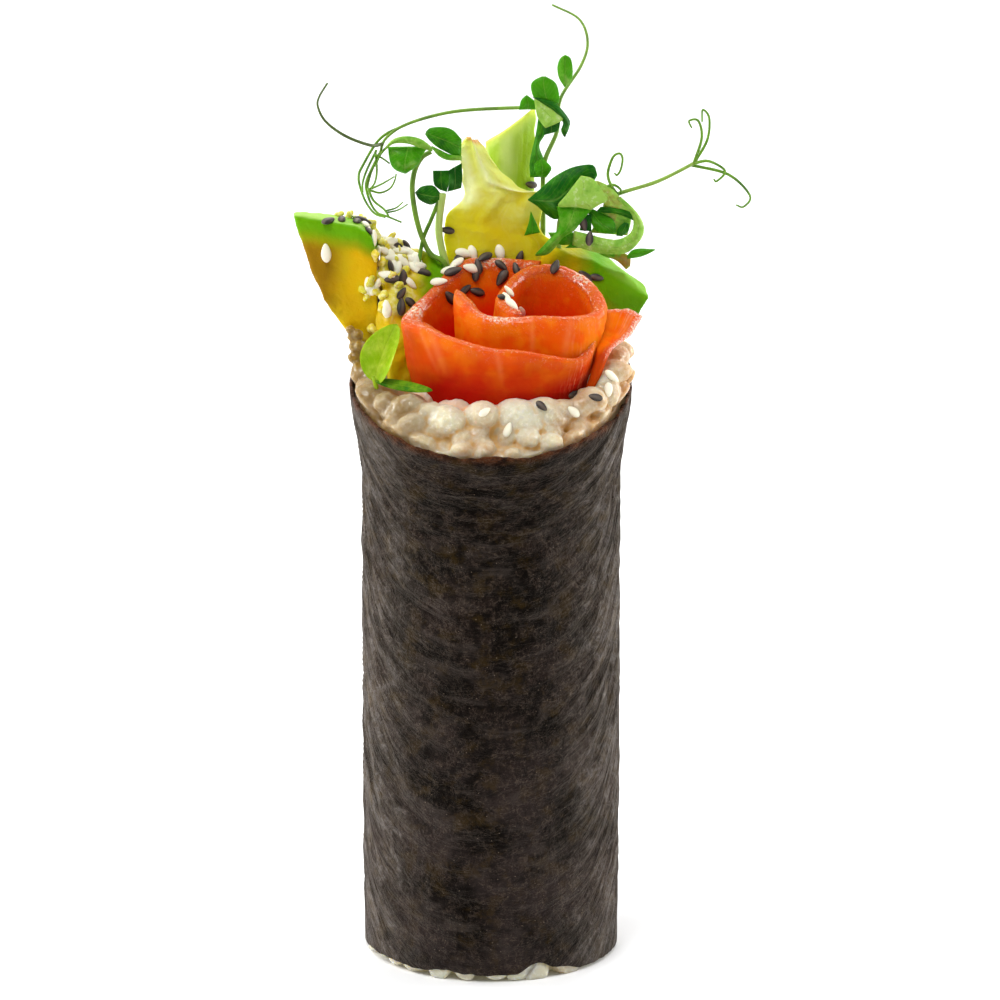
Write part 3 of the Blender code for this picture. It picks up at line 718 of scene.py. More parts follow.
def rice_finish():
    """Moist, slightly see-through cooked rice, browner where the nori and the fillings stain it, with painted
    shade and a painted amber glow in its crevices, a faint painted glow elsewhere and painted highlight
    specks.
    """
    colours = bpy.context.scene.hand_roll_colours
    # The emission is a painted glow that lifts the rice's shade: faint all over, amber in the crevices.
    look = Finish(
        "rice", 0.2, (1.0, (1.0, 0.85, 0.5), 3.2),
        coat_roughness=0.12, sheen_weight=0.2, sheen_roughness=0.3, emission_strength=0.26,
    )
    spot = look.place()
    grain = look.attribute("tint")
    cloud = look.noise(spot, 2.2 * MM, 3)
    fine = look.noise(spot, 0.7 * MM, 4, 0.6)
    body = look.mix((grain * 0.9 + cloud * 0.6).clamped(), srgb(206, 198, 168), colours.rice)
    body = look.mix(grain.step(0.6, 0.85) * cloud.step(0.35, 0.6) * 0.7, body, srgb(208, 210, 186))
    # Painted highlight: small whitish specks.
    body = look.mix(fine.step(0.52, 0.64) * 0.4, body, srgb(244, 240, 228))
    body = look.mix(fine.step(0.5, 0.34) * (0.12 + look.attribute("stain") * 0.5), body, srgb(190, 142, 76))
    # Painted shade: the crevices between grains are painted a darker amber.
    deep = look.mix(look.attribute("deep").step(0.1, 1.0) * 0.6, body, srgb(206, 166, 88))
    stain = (look.attribute("stain") * (0.5 + cloud)).clamped()
    colour = look.mix(stain * 0.9, deep, srgb(168, 112, 38))
    olive = (look.attribute("olive") * (0.5 + cloud)).clamped()
    colour = look.mix(olive * 0.92, colour, srgb(128, 102, 50))
    look.set("Coat Weight", fine.step(0.42, 0.58) * 0.55)
    # The painted glow turns amber in the crevices and brown where stained or olive.
    glow = look.mix(look.attribute("deep").step(0.0, 0.8), srgb(124, 118, 94), srgb(214, 164, 84))
    look.set("Emission Color", look.mix((olive + stain * 0.7).clamped(), glow, srgb(112, 70, 14)))
    colour = look.mix(look.attribute("blush") * 0.35, colour, srgb(240, 176, 156))
    rag = look.attribute("rag") * (0.5 + fine)
    colour = look.mix((rag * 1.4).clamped(), colour, srgb(122, 98, 30))
    return look.finish(colour, 0.26 + fine * 0.25, fine + cloud * 0.6, 0.0002)


def grain_template():
    """One cooked grain of rice: a plump ball drawn out and slightly bent, lying along X."""
    sizes = bpy.context.scene.hand_roll_sizes
    piece = primitive("grain", bpy.ops.mesh.primitive_ico_sphere_add, subdivisions=3, radius=0.5)
    for vertex in piece.data.vertices:
        spot = vertex.co
        plump = 1 - 0.2 * (2 * spot.x) ** 4
        bend = 0.12 * (2 * spot.x) ** 2
        high = spot.z * 0.92 * plump - bend
        wide = spot.y * sizes.grain_width * plump
        vertex.co = Vector((spot.x * sizes.grain_length, wide, high * sizes.grain_width))
    return piece


def grain_matrix(draw, point, size, lie):
    """A grain at a point, turned at random and tilted by up to lie."""
    turn = leaning(draw, lie, math.pi)
    stretch = Matrix.Diagonal((size * draw.uniform(0.85, 1.1), size, size * draw.uniform(0.9, 1.1), 1))
    return laid(point, turn, stretch)


def crevices(piece, times):
    """How far each point lies below its smoothed surroundings, in mm."""
    calm = piece.copy()
    calm.data = piece.data.copy()
    bpy.context.scene.collection.objects.link(calm)
    modified(calm, "SMOOTH", factor=0.5, iterations=times)
    pairs = zip(calm.data.vertices, piece.data.vertices)
    depths = [(soft.co - sharp.co).dot(sharp.normal) / MM for soft, sharp in pairs]
    bpy.data.objects.remove(calm)
    return depths


# The rings of grains at the mouth: radius in mm, number of grains, and how high they lie in mm
MOUTH_RINGS = ((15.4, 17, 2.6), (18.6, 21, 2.4), (21.4, 24, 1.4), (24.0, 28, 0.3))
# The ring of grains at the foot: how many, its radius and how far out it may reach, in mm
FOOT_GRAINS = 28
FOOT_RING = 21.4
FOOT_REACH = 23.7
# How far inside the nori's outer face the rice ends, at the mouth and below it, and the width over which
# the outermost rice is squeezed together
MOUTH_INSET = 1.2 * MM
BODY_INSET = 1.5 * MM
SQUEEZE = 0.9 * MM
# Where the nori stains the rice brown: angle in degrees, how narrow the stain is, and how strong
STAINS = ((-46, 0.95, 0.7), (-8, 0.88, 1.0), (-93, 0.97, 0.3))


def mouth_grains(draw):
    """Where the grains lie that show at the mouth."""
    places = []
    for radius, count, rise in MOUTH_RINGS:
        for index in range(count):
            angle = 2 * math.pi * (index + draw.uniform(-0.35, 0.35)) / count
            reach = (radius + draw.uniform(-0.6, 0.6)) * MM
            level = RIM_HEIGHT + (rise - 1.4 + draw.uniform(-1.0, 1.0)) * MM
            places.append(grain_matrix(draw, on_ring(reach, angle, level), draw.uniform(0.75, 1.2), 0.8))
    return places


# The lumps of rice that stand out: place in mm, and size as a share of a grain
RIM_LUMPS = (
    (22.6, -3.6, 114.6, 1.45), (22.4, 1.2, 115.0, 1.4), (21.6, 6, 114.4, 1.2), (-22.3, 3, 114, 1.2),
    (-20.5, 8, 114, 1.2), (-22.4, -2, 112.0, 1.3), (-20.6, -7.8, 107.4, 2.0), (-16.6, -13.5, 107.4, 1.5),
    (-13.2, -16.4, 105.4, 1.5), (-8.4, -17.4, 106.8, 1.7), (-2.8, -19.6, 104.6, 1.0),
    (-1.8, -17.4, 107.6, 1.6), (4.8, -17.6, 107.6, 1.8), (3.2, -20.2, 104.6, 0.9), (6.6, -20.4, 104.8, 1.1),
    (9.8, -16.8, 108.2, 1.6), (13.4, -16.2, 108.6, 1.1), (16.4, -15.0, 108.8, 1.2), (16.0, -16.6, 105.4, 1.0),
    (18.4, -14.0, 110.2, 1.2), (20.8, -10.4, 111.8, 1.4), (22.2, -7.8, 113.4, 1.3), (20.4, -13.4, 106.6, 0.9),
    (23.4, -8.0, 109.8, 1.1), (24.6, -3.0, 111.4, 1.1), (-11.4, -16.2, 108.0, 1.1),
    (-14.5, -14.2, 108.8, 1.3), (-18.6, -11.4, 108.6, 1.2), (-21.8, -7.0, 110.0, 1.2),
    (-5.2, -19.4, 104.8, 0.8), (-17.4, -15.6, 104.6, 0.9), (11.6, -18.8, 105.0, 0.9),
    (-24.4, -1.5, 112.6, 0.7),
)
# The olive shreds at the left, where the avocado has smeared the rice
RAG_LUMPS = (
    (-25.2, -0.5, 114.6, 0.55), (-25.4, 0.5, 116.4, 0.5), (-24.6, 1, 118.6, 0.5), (-24.0, 0, 116.4, 0.6),
    (-25.3, -2.5, 111.2, 0.55), (-25.6, 1.2, 118.2, 0.4), (-26.2, 1.5, 119.6, 0.4), (-24.6, -1.8, 113.2, 0.5),
)


def rim_lumps(draw, lumps):
    """The larger lumps that stand out of the rice."""
    places = []
    for x, y, z, size in lumps:
        places.append(laid(place(x, y, z), leaning(draw, 0.8, 3.1), Matrix.Scale(size, 4)))
    return places


def facing(angle, turn, low, high):
    """1 where an angle faces the turn in degrees, 0 away from it, smooth between two cosines."""
    return between(math.cos(angle - math.radians(turn)), low, high)


def ring_body(name, profile, steps):
    """A turned ring whose section runs through (radius, height) points, with the mouth's slant."""
    def place_of(u, v):
        radius, level = profile[round(v * len(profile)) % len(profile)]
        return on_ring(radius, 2 * math.pi * u, level)

    return closed(shaped(grid(name, steps, len(profile)), place_of))


def rice_mouth(draw, template):
    """The rice at the mouth: grains fused together on a bed."""
    places = mouth_grains(draw) + rim_lumps(draw, RIM_LUMPS) + rim_lumps(draw, RAG_LUMPS)
    wall = roll_radius(RIM_HEIGHT) - MOUTH_INSET
    bed = RIM_HEIGHT - 1.8 * MM
    profile = [(wall - 1.6 * MM, bed - 6 * MM), (wall - 0.3 * MM, bed + 0.3 * MM)]
    profile += [(21.5 * MM, bed + 1.2 * MM), (17 * MM, bed + 2.6 * MM)]
    profile += [(CAVITY_RADIUS, bed + 3 * MM), (CAVITY_RADIUS, bed - 6 * MM)]
    piece = joined("rice_mouth", [ring_body("bed", profile, 64), copies("grains", template, places)])
    modified(piece, "REMESH", mode="VOXEL", voxel_size=RICE_CELL)
    modified(piece, "SMOOTH", factor=0.5, iterations=5)
    roughened(piece, 1.5 * MM, 0.12 * MM, 7)

    grains = KDTree(len(places))
    for index, matrix in enumerate(places):
        grains.insert(matrix.translation, index)
    grains.balance()
    tints = [draw.random() for _ in places]
    marks = []
    for vertex, depth in zip(piece.data.vertices, crevices(piece, 40)):
        spot = vertex.co
        near = grains.find_n(spot, 2)
        # Where two grains meet, they share their tint
        share = 0.5 * between(near[1][2] - near[0][2], 1.4 * MM, 0.0)
        angle = math.atan2(spot.y, spot.x)
        out = spot.xy.length
        rim = slanted(RIM_HEIGHT, spot.y)
        brown = 0.4 * between(spot.z - rim, 4 * MM, 0.5 * MM) * between(out, 19 * MM, 22 * MM)
        for turn, narrow, much in STAINS:
            brown += much * facing(angle, turn, narrow, 1.0) * between(out, 17 * MM, 22 * MM)
        olive = facing(angle, 206, 0.75, 0.95) * between(out, 16 * MM, 20 * MM)
        rag = facing(angle, 180, 0.985, 0.993) * between(out, 23.4 * MM, 24.6 * MM)
        # deep is how far into a crevice the point lies, where shade and an amber glow are painted.
        marks.append({
            "tint": tints[near[0][1]] * (1 - share) + tints[near[1][1]] * share,
            "deep": between(depth, -0.05, 0.25),
            "stain": min(1.0, brown) * (0.7 + 0.4 * ripple(spot, 3 * MM, 2)),
            "olive": olive * (0.8 + 0.3 * ripple(spot, 4 * MM, 5)),
            "blush": between(out, 19.5 * MM, 17 * MM) * between(-spot.y, 4 * MM, 10 * MM),
            "rag": rag * between(spot.z, 110.5 * MM, 112.5 * MM),
        })
        # Rice that would reach past the nori is squeezed in, the more the further out it is
        limit = wall + 0.3 * MM + 0.7 * max(0.0, spot.z - rim)
        over = (out - limit) / SQUEEZE + 1
        if over > 0:
            spot.xy *= (limit - SQUEEZE * math.exp(-over)) / out
    return noted(roughened(piece, 0.9 * MM, 0.16 * MM, 11), marks)


def rice_foot(draw, template):
    """The grains that show below the nori's ragged edge, their lowest sides flat on the ground."""
    places = []
    for index in range(FOOT_GRAINS):
        angle = 2 * math.pi * (index + draw.uniform(-0.3, 0.3)) / FOOT_GRAINS
        point = Vector((math.cos(angle), math.sin(angle), 0)) * FOOT_RING * MM
        point.z = draw.uniform(1.4, 2.4) * MM
        places.append(grain_matrix(draw, point, draw.uniform(0.95, 1.35), 0.4))
    marks = {"tint": [draw.uniform(0.3, 1) for _ in places], "stain": [draw.uniform(0, 0.25) for _ in places]}
    piece = copies("rice_foot", template, places, marks)
    for vertex in piece.data.vertices:
        vertex.co.z = max(vertex.co.z, 0.0)
        if vertex.co.xy.length > FOOT_REACH * MM:
            vertex.co.xy *= FOOT_REACH * MM / vertex.co.xy.length
    return piece


def rice_heap():
    """All the rice: the fused mouth, the plain ring that the nori hides, and the foot."""
    draw = random.Random(RICE_DRAW)
    template = grain_template()
    body = bpy.context.scene.hand_roll_sizes.roll_radius - BODY_INSET
    top = RIM_HEIGHT - 6 * MM
    profile = [(20.4 * MM, 0.1 * MM), (21.2 * MM, 1.2 * MM), (body, 5 * MM)]
    profile += [(body, 60 * MM), (body, 92 * MM), (body + 1.2 * MM, top)]
    profile += [(CAVITY_RADIUS, top), (CAVITY_RADIUS, 85 * MM), (CAVITY_RADIUS, 0.1 * MM)]
    ring = ring_body("ring", profile, 72)
    piece = joined("rice_heap", [rice_mouth(draw, template), rice_foot(draw, template), ring])
    bpy.data.objects.remove(template)
    return piece


class HANDROLL_OT_rice(bpy.types.Operator):
    """Fills the roll with rice"""

    bl_idname = "hand_roll.rice"
    bl_label = "Rice"

    def execute(self, context):
        done(rice_heap(), rice_finish(), "rice", "rice")
        return {"FINISHED"}


# Salmon

# The rose's centre in mm, how far its slices draw in below their rim, and the heights of its foot and floor
ROSE_CENTRE = (2.0, -4.0)
ROSE_GATHER = 0.8
ROSE_FOOT = 107 * MM
ROSE_FLOOR = 117 * MM
# Where the fillings meet inside the roll, in mm. The salmon lies in front of SALMON_BACK. Behind it the
# lettuce reaches FILLING_HALF to both sides, beside the avocado, and its two leaves meet at LETTUCE_SPLIT
SALMON_BACK = 1.35
FILLING_HALF = 5.85
LETTUCE_SPLIT = 9.2
FILLING_GAP = 0.3
# How high the fillings inside the roll reach
SALMON_TOP = 110 * MM
AVOCADO_TOP = 112 * MM
LETTUCE_TOP = 108 * MM
# The slice that leans out: its thickness, and the way its face looks
FLAP_THICKNESS = 1.9 * MM
FLAP_FACE = Vector((-0.35, -0.75, 0.55))
# The rims of the rose's inner and outer slice, in mm
INNER_RIM = (
    (5.6, -8.5, 125.3), (2.1, -5, 127.1), (3.2, -1, 128.9), (6.9, 4.5, 130.7), (13.2, 6.5, 130.4),
    (18.9, 0.5, 128), (20.3, -6.0, 125.5), (14.7, -10.5, 125), (1.7, -10.5, 125), (-2.7, -9, 125.6),
    (-6.4, -4, 128.7),
)
OUTER_RIM = (
    (9.3, 8.5, 130.7), (0.4, 9, 131.3), (-5, 7.5, 131.3), (-11.3, 1, 126.7), (-15.8, -5.5, 123.2),
    (-12.1, -11, 123.2), (-2.7, -16, 121), (6.1, -17, 120.1), (16.2, -13.6, 117.8), (19.2, -7, 122.4),
)
# Where the rim of the slices glistens most, with a painted highlight and more coat: place and reach in mm
GLEAMS = (((1.7, -10.5, 125), 4.0), ((-14, -3, 124.5), 2.6), ((18, 3.5, 129), 2.4), ((0, 9, 131.3), 3.0))


def salmon_finish():
    """Moist smoked salmon: orange faces, deep red low down, pale glistening cut edges and fine grain, with
    painted highlights on the edges, painted shade on the left facet, over the flap and in the hollows, and a
    painted red glow in the hollows.
    """
    colours = bpy.context.scene.hand_roll_colours
    look = Finish("salmon", 0.02, (0.35, (1.0, 0.3, 0.05), 2.5), coat_roughness=0.1, emission_strength=0.12)
    spot = look.place()
    run, rise, rim = look.attribute("run"), look.attribute("rise"), look.attribute("rim")
    sheet = look.vector(run, rise)
    cloud = look.noise(spot, 6 * MM, 3)
    grain = look.noise(sheet, 0.45, 3, 0.6, 0.2, (1, 9, 1))
    specks = look.noise(spot, 0.55 * MM, 3, 0.75)
    low = (1 - rise / 18.5 + (cloud - 0.5) * 0.5).step(0.1, 0.85)
    amber = look.noise(spot, 4 * MM, 2).step(0.4, 0.6) * 0.85
    high = look.mix(amber, colours.salmon, srgb(242, 124, 8))
    colour = look.mix(low, high, colours.salmon_deep)
    # Painted shade: the inner faces of the curls are painted a deeper red, and their emission is a painted
    # red glow.
    hollow = look.attribute("hollow")
    colour = look.mix(hollow, colour, srgb(190, 0, 0))
    look.set("Emission Color", look.mix(hollow, srgb(0, 0, 0), srgb(226, 20, 0)))
    fat = look.attribute("fat") * (0.4 + cloud * 1.2)
    colour = look.mix((fat * 0.26).clamped(), colour, srgb(246, 150, 92))
    streaks_and_sheen = look.attribute("fibre") * grain.step(0.45, 0.7) * cloud.step(0.35, 0.65)
    colour = look.mix(streaks_and_sheen * 0.45, colour, srgb(240, 156, 108))
    # Painted shade: the left facet and the flap are painted darker.
    colour = look.mix(look.attribute("painted_shade") * 0.6, colour, srgb(176, 66, 6))
    near = (rim + look.attribute("lip") * cloud * 0.4).clamped()
    # Painted highlights: whitish specks and the gleams on the cut edges.
    gleam = look.attribute("gleam") * specks.step(0.4, 0.6)
    pale = look.mix((specks.step(0.56, 0.7) + gleam).clamped(), colours.salmon_rim, srgb(255, 220, 194))
    colour = look.mix((near * (0.3 + specks * 0.6) + gleam * 0.8).clamped(), colour, pale)
    look.set("Coat Weight", (near * 0.6 + gleam + streaks_and_sheen * 0.2).clamped())
    rough = 0.42 - rim * 0.14 + specks * 0.1
    height = grain * 0.15 + specks * (0.3 + near * 2.2) + fat * 0.2
    return look.finish(colour, rough, height, 0.00025)


def rose_foot(rim):
    """Where the slice below a point of the rose's rim goes down into the roll."""
    centre = place(*ROSE_CENTRE, 0)
    foot = centre + (rim - centre) * ROSE_GATHER
    return Vector((foot.x, min(foot.y, SALMON_BACK * MM), ROSE_FOOT))


def slice_section(rows, rounding):
    """Stations round a slice on edge: (share of the height, side from -1 to 1, how much it is cut rim)."""
    turns = [math.radians(10 * step) for step in range(9)]
    face = [((1 - rounding) * row / rows, 1.0, 0.0) for row in range(rows)]
    corner = [(1 - rounding * (1 - math.sin(a)), math.cos(a) ** 0.8, eased(a / 0.7)) for a in turns]
    half = face + corner
    return half + [(1.0, 0.0, 1.0)] + [(height, -side, rim) for height, side, rim in reversed(half)]


def salmon_slice(name, corners, columns, seed, wide, bows, lines):
    """A slice of salmon on edge, curled so that its rim runs through the corners, outside to the right.

    wide: (x, y, reach, by) widens the rim inwards there. bows: the same, pushing the face outwards.
    lines: (x at the top, x at the bottom, width) of the pale lines of fat. All are in mm."""
    thickness = bpy.context.scene.hand_roll_sizes.slice_thickness
    rim_line = relaxed(even(smooth(corners, 14), 140), 8)
    section = slice_section(28, 0.085)
    around = len(section)
    length = sum((end - start).length for start, end in zip(rim_line, rim_line[1:]))

    def station(v):
        return section[round(v * around) % around]

    def swell(spot, places):
        return sum(by * MM * math.exp(-((spot.x / MM - x) ** 2 + (spot.y / MM - y) ** 2) / reach ** 2)
                   for x, y, reach, by in places)

    def place_of(u, v):
        height, side, _ = station(v)
        top = along(rim_line, u)
        run = along(rim_line, u + 0.01) - along(rim_line, u - 0.01)
        outward = Vector((run.y, -run.x, 0)).normalized()
        way = u * length
        # The rim is a little wavy, and the ends are rounded
        top.z += (0.4 * ripple((way, 0, 0), 6 * MM, seed) + 0.14 * ripple((way, 0, 0), 1.2 * MM, seed)) * MM
        end = min(1.0, min(u, 1 - u) * length / (1.3 * MM))
        half = thickness / 2 * math.sqrt(max(0.0, 1 - (1 - end) ** 2))
        half *= 1 - 0.1 * height + 0.1 * ripple((way, height, 0), 6 * MM, seed + 3)
        point = rose_foot(top).lerp(top, height)
        # The rim widens inwards, and the face bows outwards with a few soft creases
        inner = swell(top, wide) * between(height, 0.45, 0.95) * (side < 0) * abs(side) * end
        bow = math.sin(math.pi * height ** 0.8) * swell(top, bows)
        sway = 0.3 + 0.5 * ripple((way, 0, height * 0.01), 8 * MM, seed + 6)
        bow += math.sin(math.pi * height) * sway * MM
        crease = 0.1 * MM * ripple((way, 0, height * 0.004), 1.8 * MM, seed + 9) * (1 - height ** 4)
        return point + outward * (side * half - inner + bow + crease)

    def marks_of(u, v):
        height, side, rim = station(v)
        top = along(rim_line, u)
        fat = sum(hump(top.x / MM - low, (high - low) * height, width) for high, low, width in lines)
        front = between(-top.y, 2 * MM, 6 * MM) * (side > 0)
        marks = {"run": u * length / MM, "rise": height * (top.z - ROSE_FOOT) / MM}
        marks["rim"] = rim * between(side, 0.95, 0.2)
        marks["lip"] = between(height, 0.74, 0.95)
        marks["fat"] = fat * front * between(height, 0.45, 0.8)
        # Where the rim gets painted highlight.
        marks["gleam"] = rim * sum(hump((top - place(*spot)).length / MM, 0, reach) for spot, reach in GLEAMS)
        # Where the left facet gets painted shade.
        marks["painted_shade"] = between(top.x, -11 * MM, -16 * MM) * (side > 0)
        marks["fibre"] = between(top.x, 11.5 * MM, 17 * MM) * (side > 0) * (0.4 + 0.6 * height)
        # The inner faces, which get painted shade and a painted red glow.
        marks["hollow"] = (side < 0) * between(height, 0.97, 0.5)
        return marks

    return closed(shaped(grid(name, columns, around), place_of, marks_of))


def rose_floor():
    """The gathered salmon that closes the rose below its hollows."""
    ring = smooth(OUTER_RIM[1:] + INNER_RIM[4:7], 4)
    points = []
    for rim in ring:
        foot = rose_foot(rim)
        points += [foot, foot.lerp(rim, (ROSE_FLOOR - ROSE_FOOT) / (rim.z - ROSE_FOOT))]
    piece = hull("rose_floor", points)
    # The whole floor gets the hollows' painted shade and painted red glow.
    marked(piece, "hollow", [1.0] * len(piece.data.vertices))
    return piece


def salmon_rose():
    """The rose: an inner and an outer slice on a gathered foot, which runs down inside the roll."""
    core = stick("core", SALMON_TOP, [((0, SALMON_BACK), (0, 1))])
    marked(core, "rise", [12.0] * len(core.data.vertices))
    inner = salmon_slice(
        "inner_slice", INNER_RIM[::-1], 280, 1,
        wide=((-4.5, -7, 3.5, 0.8), (19, -4, 5, 0.5)), bows=((6, -11, 9, 1.6), (16, -10, 5, 1.6)),
        lines=((7.5, 9.5, 0.45), (14.5, 12.5, 0.6)),
    )
    outer = salmon_slice(
        "outer_slice", OUTER_RIM, 300, 2,
        wide=((-14.5, -8, 5, 2.6),), bows=((-12, -12, 5, 0.6),),
        lines=((-12.6, -6.6, 0.45), (-10.4, -6.2, 0.8), (1.2, 3.4, 0.5)),
    )
    return joined("salmon_rose_slices", [inner, outer, rose_floor(), core])


def salmon_flap():
    """The slice that leans out over the rice at the right."""
    left = smooth(((16.5, -12.5, 108.5), (18.5, -11.5, 114), (19.8, -8, 119), (20.4, -3.5, 124.3)), 8)
    right = ((17.4, -13.6, 108.5), (19.8, -12.6, 113.6), (22.0, -9.8, 118.2), (25.4, -6, 120.1))
    right = smooth(right + ((28.2, -1.6, 123),), 8)

    def place_of(u, v):
        across, lift = skin(u, 0.4)
        spot = along(left, v).lerp(along(right, v), across)
        spot += place(0, 0.6, 0.7) * math.sin(math.pi * across) * v
        spot.z += (0.5 * ripple(spot, 3 * MM, 5) + 0.25 * ripple(spot, 1.1 * MM, 6)) * MM * v
        end = tapered(v, 0.93, 0.07)
        return spot + FLAP_FACE * FLAP_THICKNESS / 2 * lift * end * min(1, 12 * v)

    def marks_of(u, v):
        across, _ = skin(u)
        high = between(v, 0.35, 0.6)
        edge = max(between(across, 0.86, 0.97) * high, between(v, 0.93, 0.99))
        # The flap's edge gets painted highlight, and the flap is painted darker as shade, more so low down.
        marks = {"run": across * 9, "rise": 1 + 16 * high, "rim": edge, "gleam": 0.45 * edge}
        marks.update({"lip": between(across, 0.6, 0.95) * high, "fibre": between(v, 0.5, 0.9) * 1.8})
        return {**marks, "painted_shade": 0.35 + 1.1 * (1 - high)}

    return closed(shaped(grid("salmon_flap_slice", 48, 70), place_of, marks_of))


class HANDROLL_OT_salmon(bpy.types.Operator):
    """Curls the slices of salmon into a rose"""

    bl_idname = "hand_roll.salmon"
    bl_label = "Salmon"

    def execute(self, context):
        finish = salmon_finish()
        done(salmon_rose(), finish, "salmon", "salmon_rose")
        done(salmon_flap(), finish, "salmon", "salmon_flap")
        return {"FINISHED"}


# Avocado

def avocado_finish():
    """Ripe avocado: creamy yellow flesh that turns green towards the skin side, with a pale highlight painted
    along the top edge and shade painted low on the right slice.
    """
    colours = bpy.context.scene.hand_roll_colours
    look = Finish("avocado", 0.06, (0.3, (0.5, 0.6, 0.1), 1.6))
    spot = look.place()
    cloud = look.noise(spot, 6 * MM, 4)
    fine = look.noise(spot, 0.9 * MM, 4, 0.6)
    flesh = look.mix(cloud.step(0.35, 0.7), srgb(222, 176, 0), colours.avocado)
    flesh = look.mix((look.attribute("amber") * (0.5 + cloud)).clamped(), flesh, srgb(152, 112, 0))
    green = (look.attribute("green") + (cloud - 0.5) * 0.4).clamped()
    colour = look.mix(green.step(0.0, 0.55), flesh, srgb(150, 158, 4))
    colour = look.mix(green.step(0.4, 1.0), colour, colours.avocado_skin)
    # Painted highlight: a pale frosty strip along the top edge.
    colour = look.mix(look.attribute("pale").step(0.3, 1.0) * (0.6 + fine * 0.5), colour, srgb(164, 202, 92))
    colour = look.mix(look.attribute("shade") * (0.3 + cloud * 0.7), colour, srgb(66, 112, 0))
    cream = look.mix(fine.step(0.4, 0.7), srgb(226, 214, 70), srgb(246, 242, 180))
    colour = look.mix(look.attribute("cream").clamped(), colour, cream)
    return look.finish(colour, 0.34 + fine * 0.25, fine * 0.6 + cloud, 0.0003)


def wedge(name, corners, lumps, seed, cell=AVOCADO_CELL):
    """A cut piece of avocado: the hull of its corners, its edges rounded off and its faces uneven."""
    piece = hull(name, [place(*corner) for corner in corners])
    modified(piece, "REMESH", mode="VOXEL", voxel_size=cell)
    modified(piece, "SMOOTH", factor=0.5, iterations=5)
    roughened(piece, 5 * MM, lumps, seed)
    return roughened(piece, 1.6 * MM, lumps * 0.35, seed + 1)


def avocado_left():
    """The wedge that leans out over the rim at the left, its skin side up."""
    front = ((-36.6, 4, 140.6), (-25, 1.5, 139.2), (-22, 1.5, 136.8), (-20.9, 1.5, 126.5))
    front += ((-20.5, 2, 116), (-23.5, 3, 113.5), (-26.5, 3, 117.8), (-31, 3.5, 124.5), (-33.6, 4, 130.5))
    back = ((-36.9, 6.5, 141), (-23.5, 11, 138.5), (-21, 11, 135), (-20, 11, 118), (-23, 9, 115))
    piece = wedge("avocado_left_wedge", front + back + ((-32, 8, 127),), 0.35 * MM, 3)

    def marks_of(x, _, z):
        under = 140.4 - 0.12 * (x + 36.6) - 0.4 * max(0.0, x + 25) - z
        amber = between(x, -24, -32) * between(z, 140.5, 135) * between(z, 117, 126)
        amber = max(amber, 0.5 * between(x, -24, -22) * between(z, 124, 119))
        # pale marks the painted highlight along the top.
        marks = {"green": between(under, 6.4, 0.8), "pale": between(under, 0.5, -0.5), "amber": amber}
        return {**marks, "cream": 0.3 * between(z, 119, 115)}

    return painted(piece, marks_of)


def avocado_middle():
    """The avocado at the left of the rose, mashed a little where the seeds stick to it."""
    low = ((-12.8, 2, 106), (-7, 2, 106), (-7, 11, 106), (-11, 7.5, 106))
    front = ((-19, -6.5, 110), (-13, -7, 110), (-18.5, -5, 117), (-20.8, 1.5, 121), (-9, 1.5, 119))
    top = ((-20.6, 3, 131.5), (-9, 5, 126.5), (-20.6, 10, 136), (-8.6, 10, 130.8), (-18.5, 12, 118))
    piece = wedge("avocado_middle_piece", low + front + top, 0.9 * MM, 6, 0.42 * MM)
    roughened(piece, 2.4 * MM, 0.6 * MM, 8)

    def marks_of(x, y, z):
        green = between(x, -14.5, -10) * between(z, 118, 124)
        cream = between(z, 120, 126) * between(x, -12, -16) * between(ripple((x, y, z), 2.4, 8), -0.3, 0.3)
        marks = {"green": 0.2 + green * 0.7, "pale": 0.0, "amber": 0.4 * between(z, 113, 109)}
        return {**marks, "cream": cream * 0.9}

    planes = [((0, SALMON_BACK + FILLING_GAP), (0, -1)), ((-FILLING_HALF - FILLING_GAP, 0), (1, 0))]
    return joined("avocado_middle_piece", [painted(piece, marks_of), stick("core", AVOCADO_TOP, planes)])


# Soft crumbs of avocado: x and z in mm where the line of sight crosses the plane y = 0, and size in mm
CRUMBS = (
    (-23.6, 127.5, 2.0), (-22.2, 128.9, 2.2), (-22.9, 126.3, 1.8), (-21.2, 127.2, 1.9), (-21.9, 119.9, 2.6),
    (-19.6, 123.9, 2.4), (-18.6, 130.2, 2.3), (-20.2, 132.6, 2.2), (-17.2, 128.4, 2.1), (-19.3, 135.4, 2.0),
    (-21.6, 134.0, 2.2), (-17.8, 133.2, 1.8), (-15.9, 131.2, 1.8), (-19.8, 126.4, 2.0), (-24.4, 117.6, 2.0),
    (-26.4, 141.6, 2.4), (-24.4, 141.3, 2.6), (-22.6, 139.9, 2.6), (-21.4, 138.0, 2.2), (-20.4, 136.8, 2.2),
    (-18.6, 137.4, 2.2), (-17.2, 135.6, 2.0), (-21.0, 130.4, 1.8), (-16.2, 133.6, 1.8), (-28.2, 141.9, 1.8),
)


def avocado_crumbs(grounds):
    """Small crumbs of avocado, strewn along the line of sight onto the pieces."""
    draw = random.Random(CRUMB_DRAW)
    template = primitive("crumb", bpy.ops.mesh.primitive_ico_sphere_add, subdivisions=3, radius=0.5 * MM)
    trees = [tree_of(piece) for piece in grounds]
    places = []
    for x, z, size in CRUMBS:
        found = struck(trees, x, z)
        if found:
            turn = Euler([draw.uniform(0, math.pi) for _ in range(3)]).to_matrix()
            form = Matrix.Diagonal((size * draw.uniform(0.8, 1.3), size * 0.9, size * 0.6, 1))
            places.append(laid(found[0] + found[1] * 0.15 * MM, turn, form))
    marks = {"cream": [draw.uniform(0.6, 1) for _ in places], "green": [draw.uniform(0, 0.5) for _ in places]}
    piece = copies("avocado_crumbs", template, places, marks)
    bpy.data.objects.remove(template)
    return roughened(piece, 0.9 * MM, 0.5 * MM, 2)


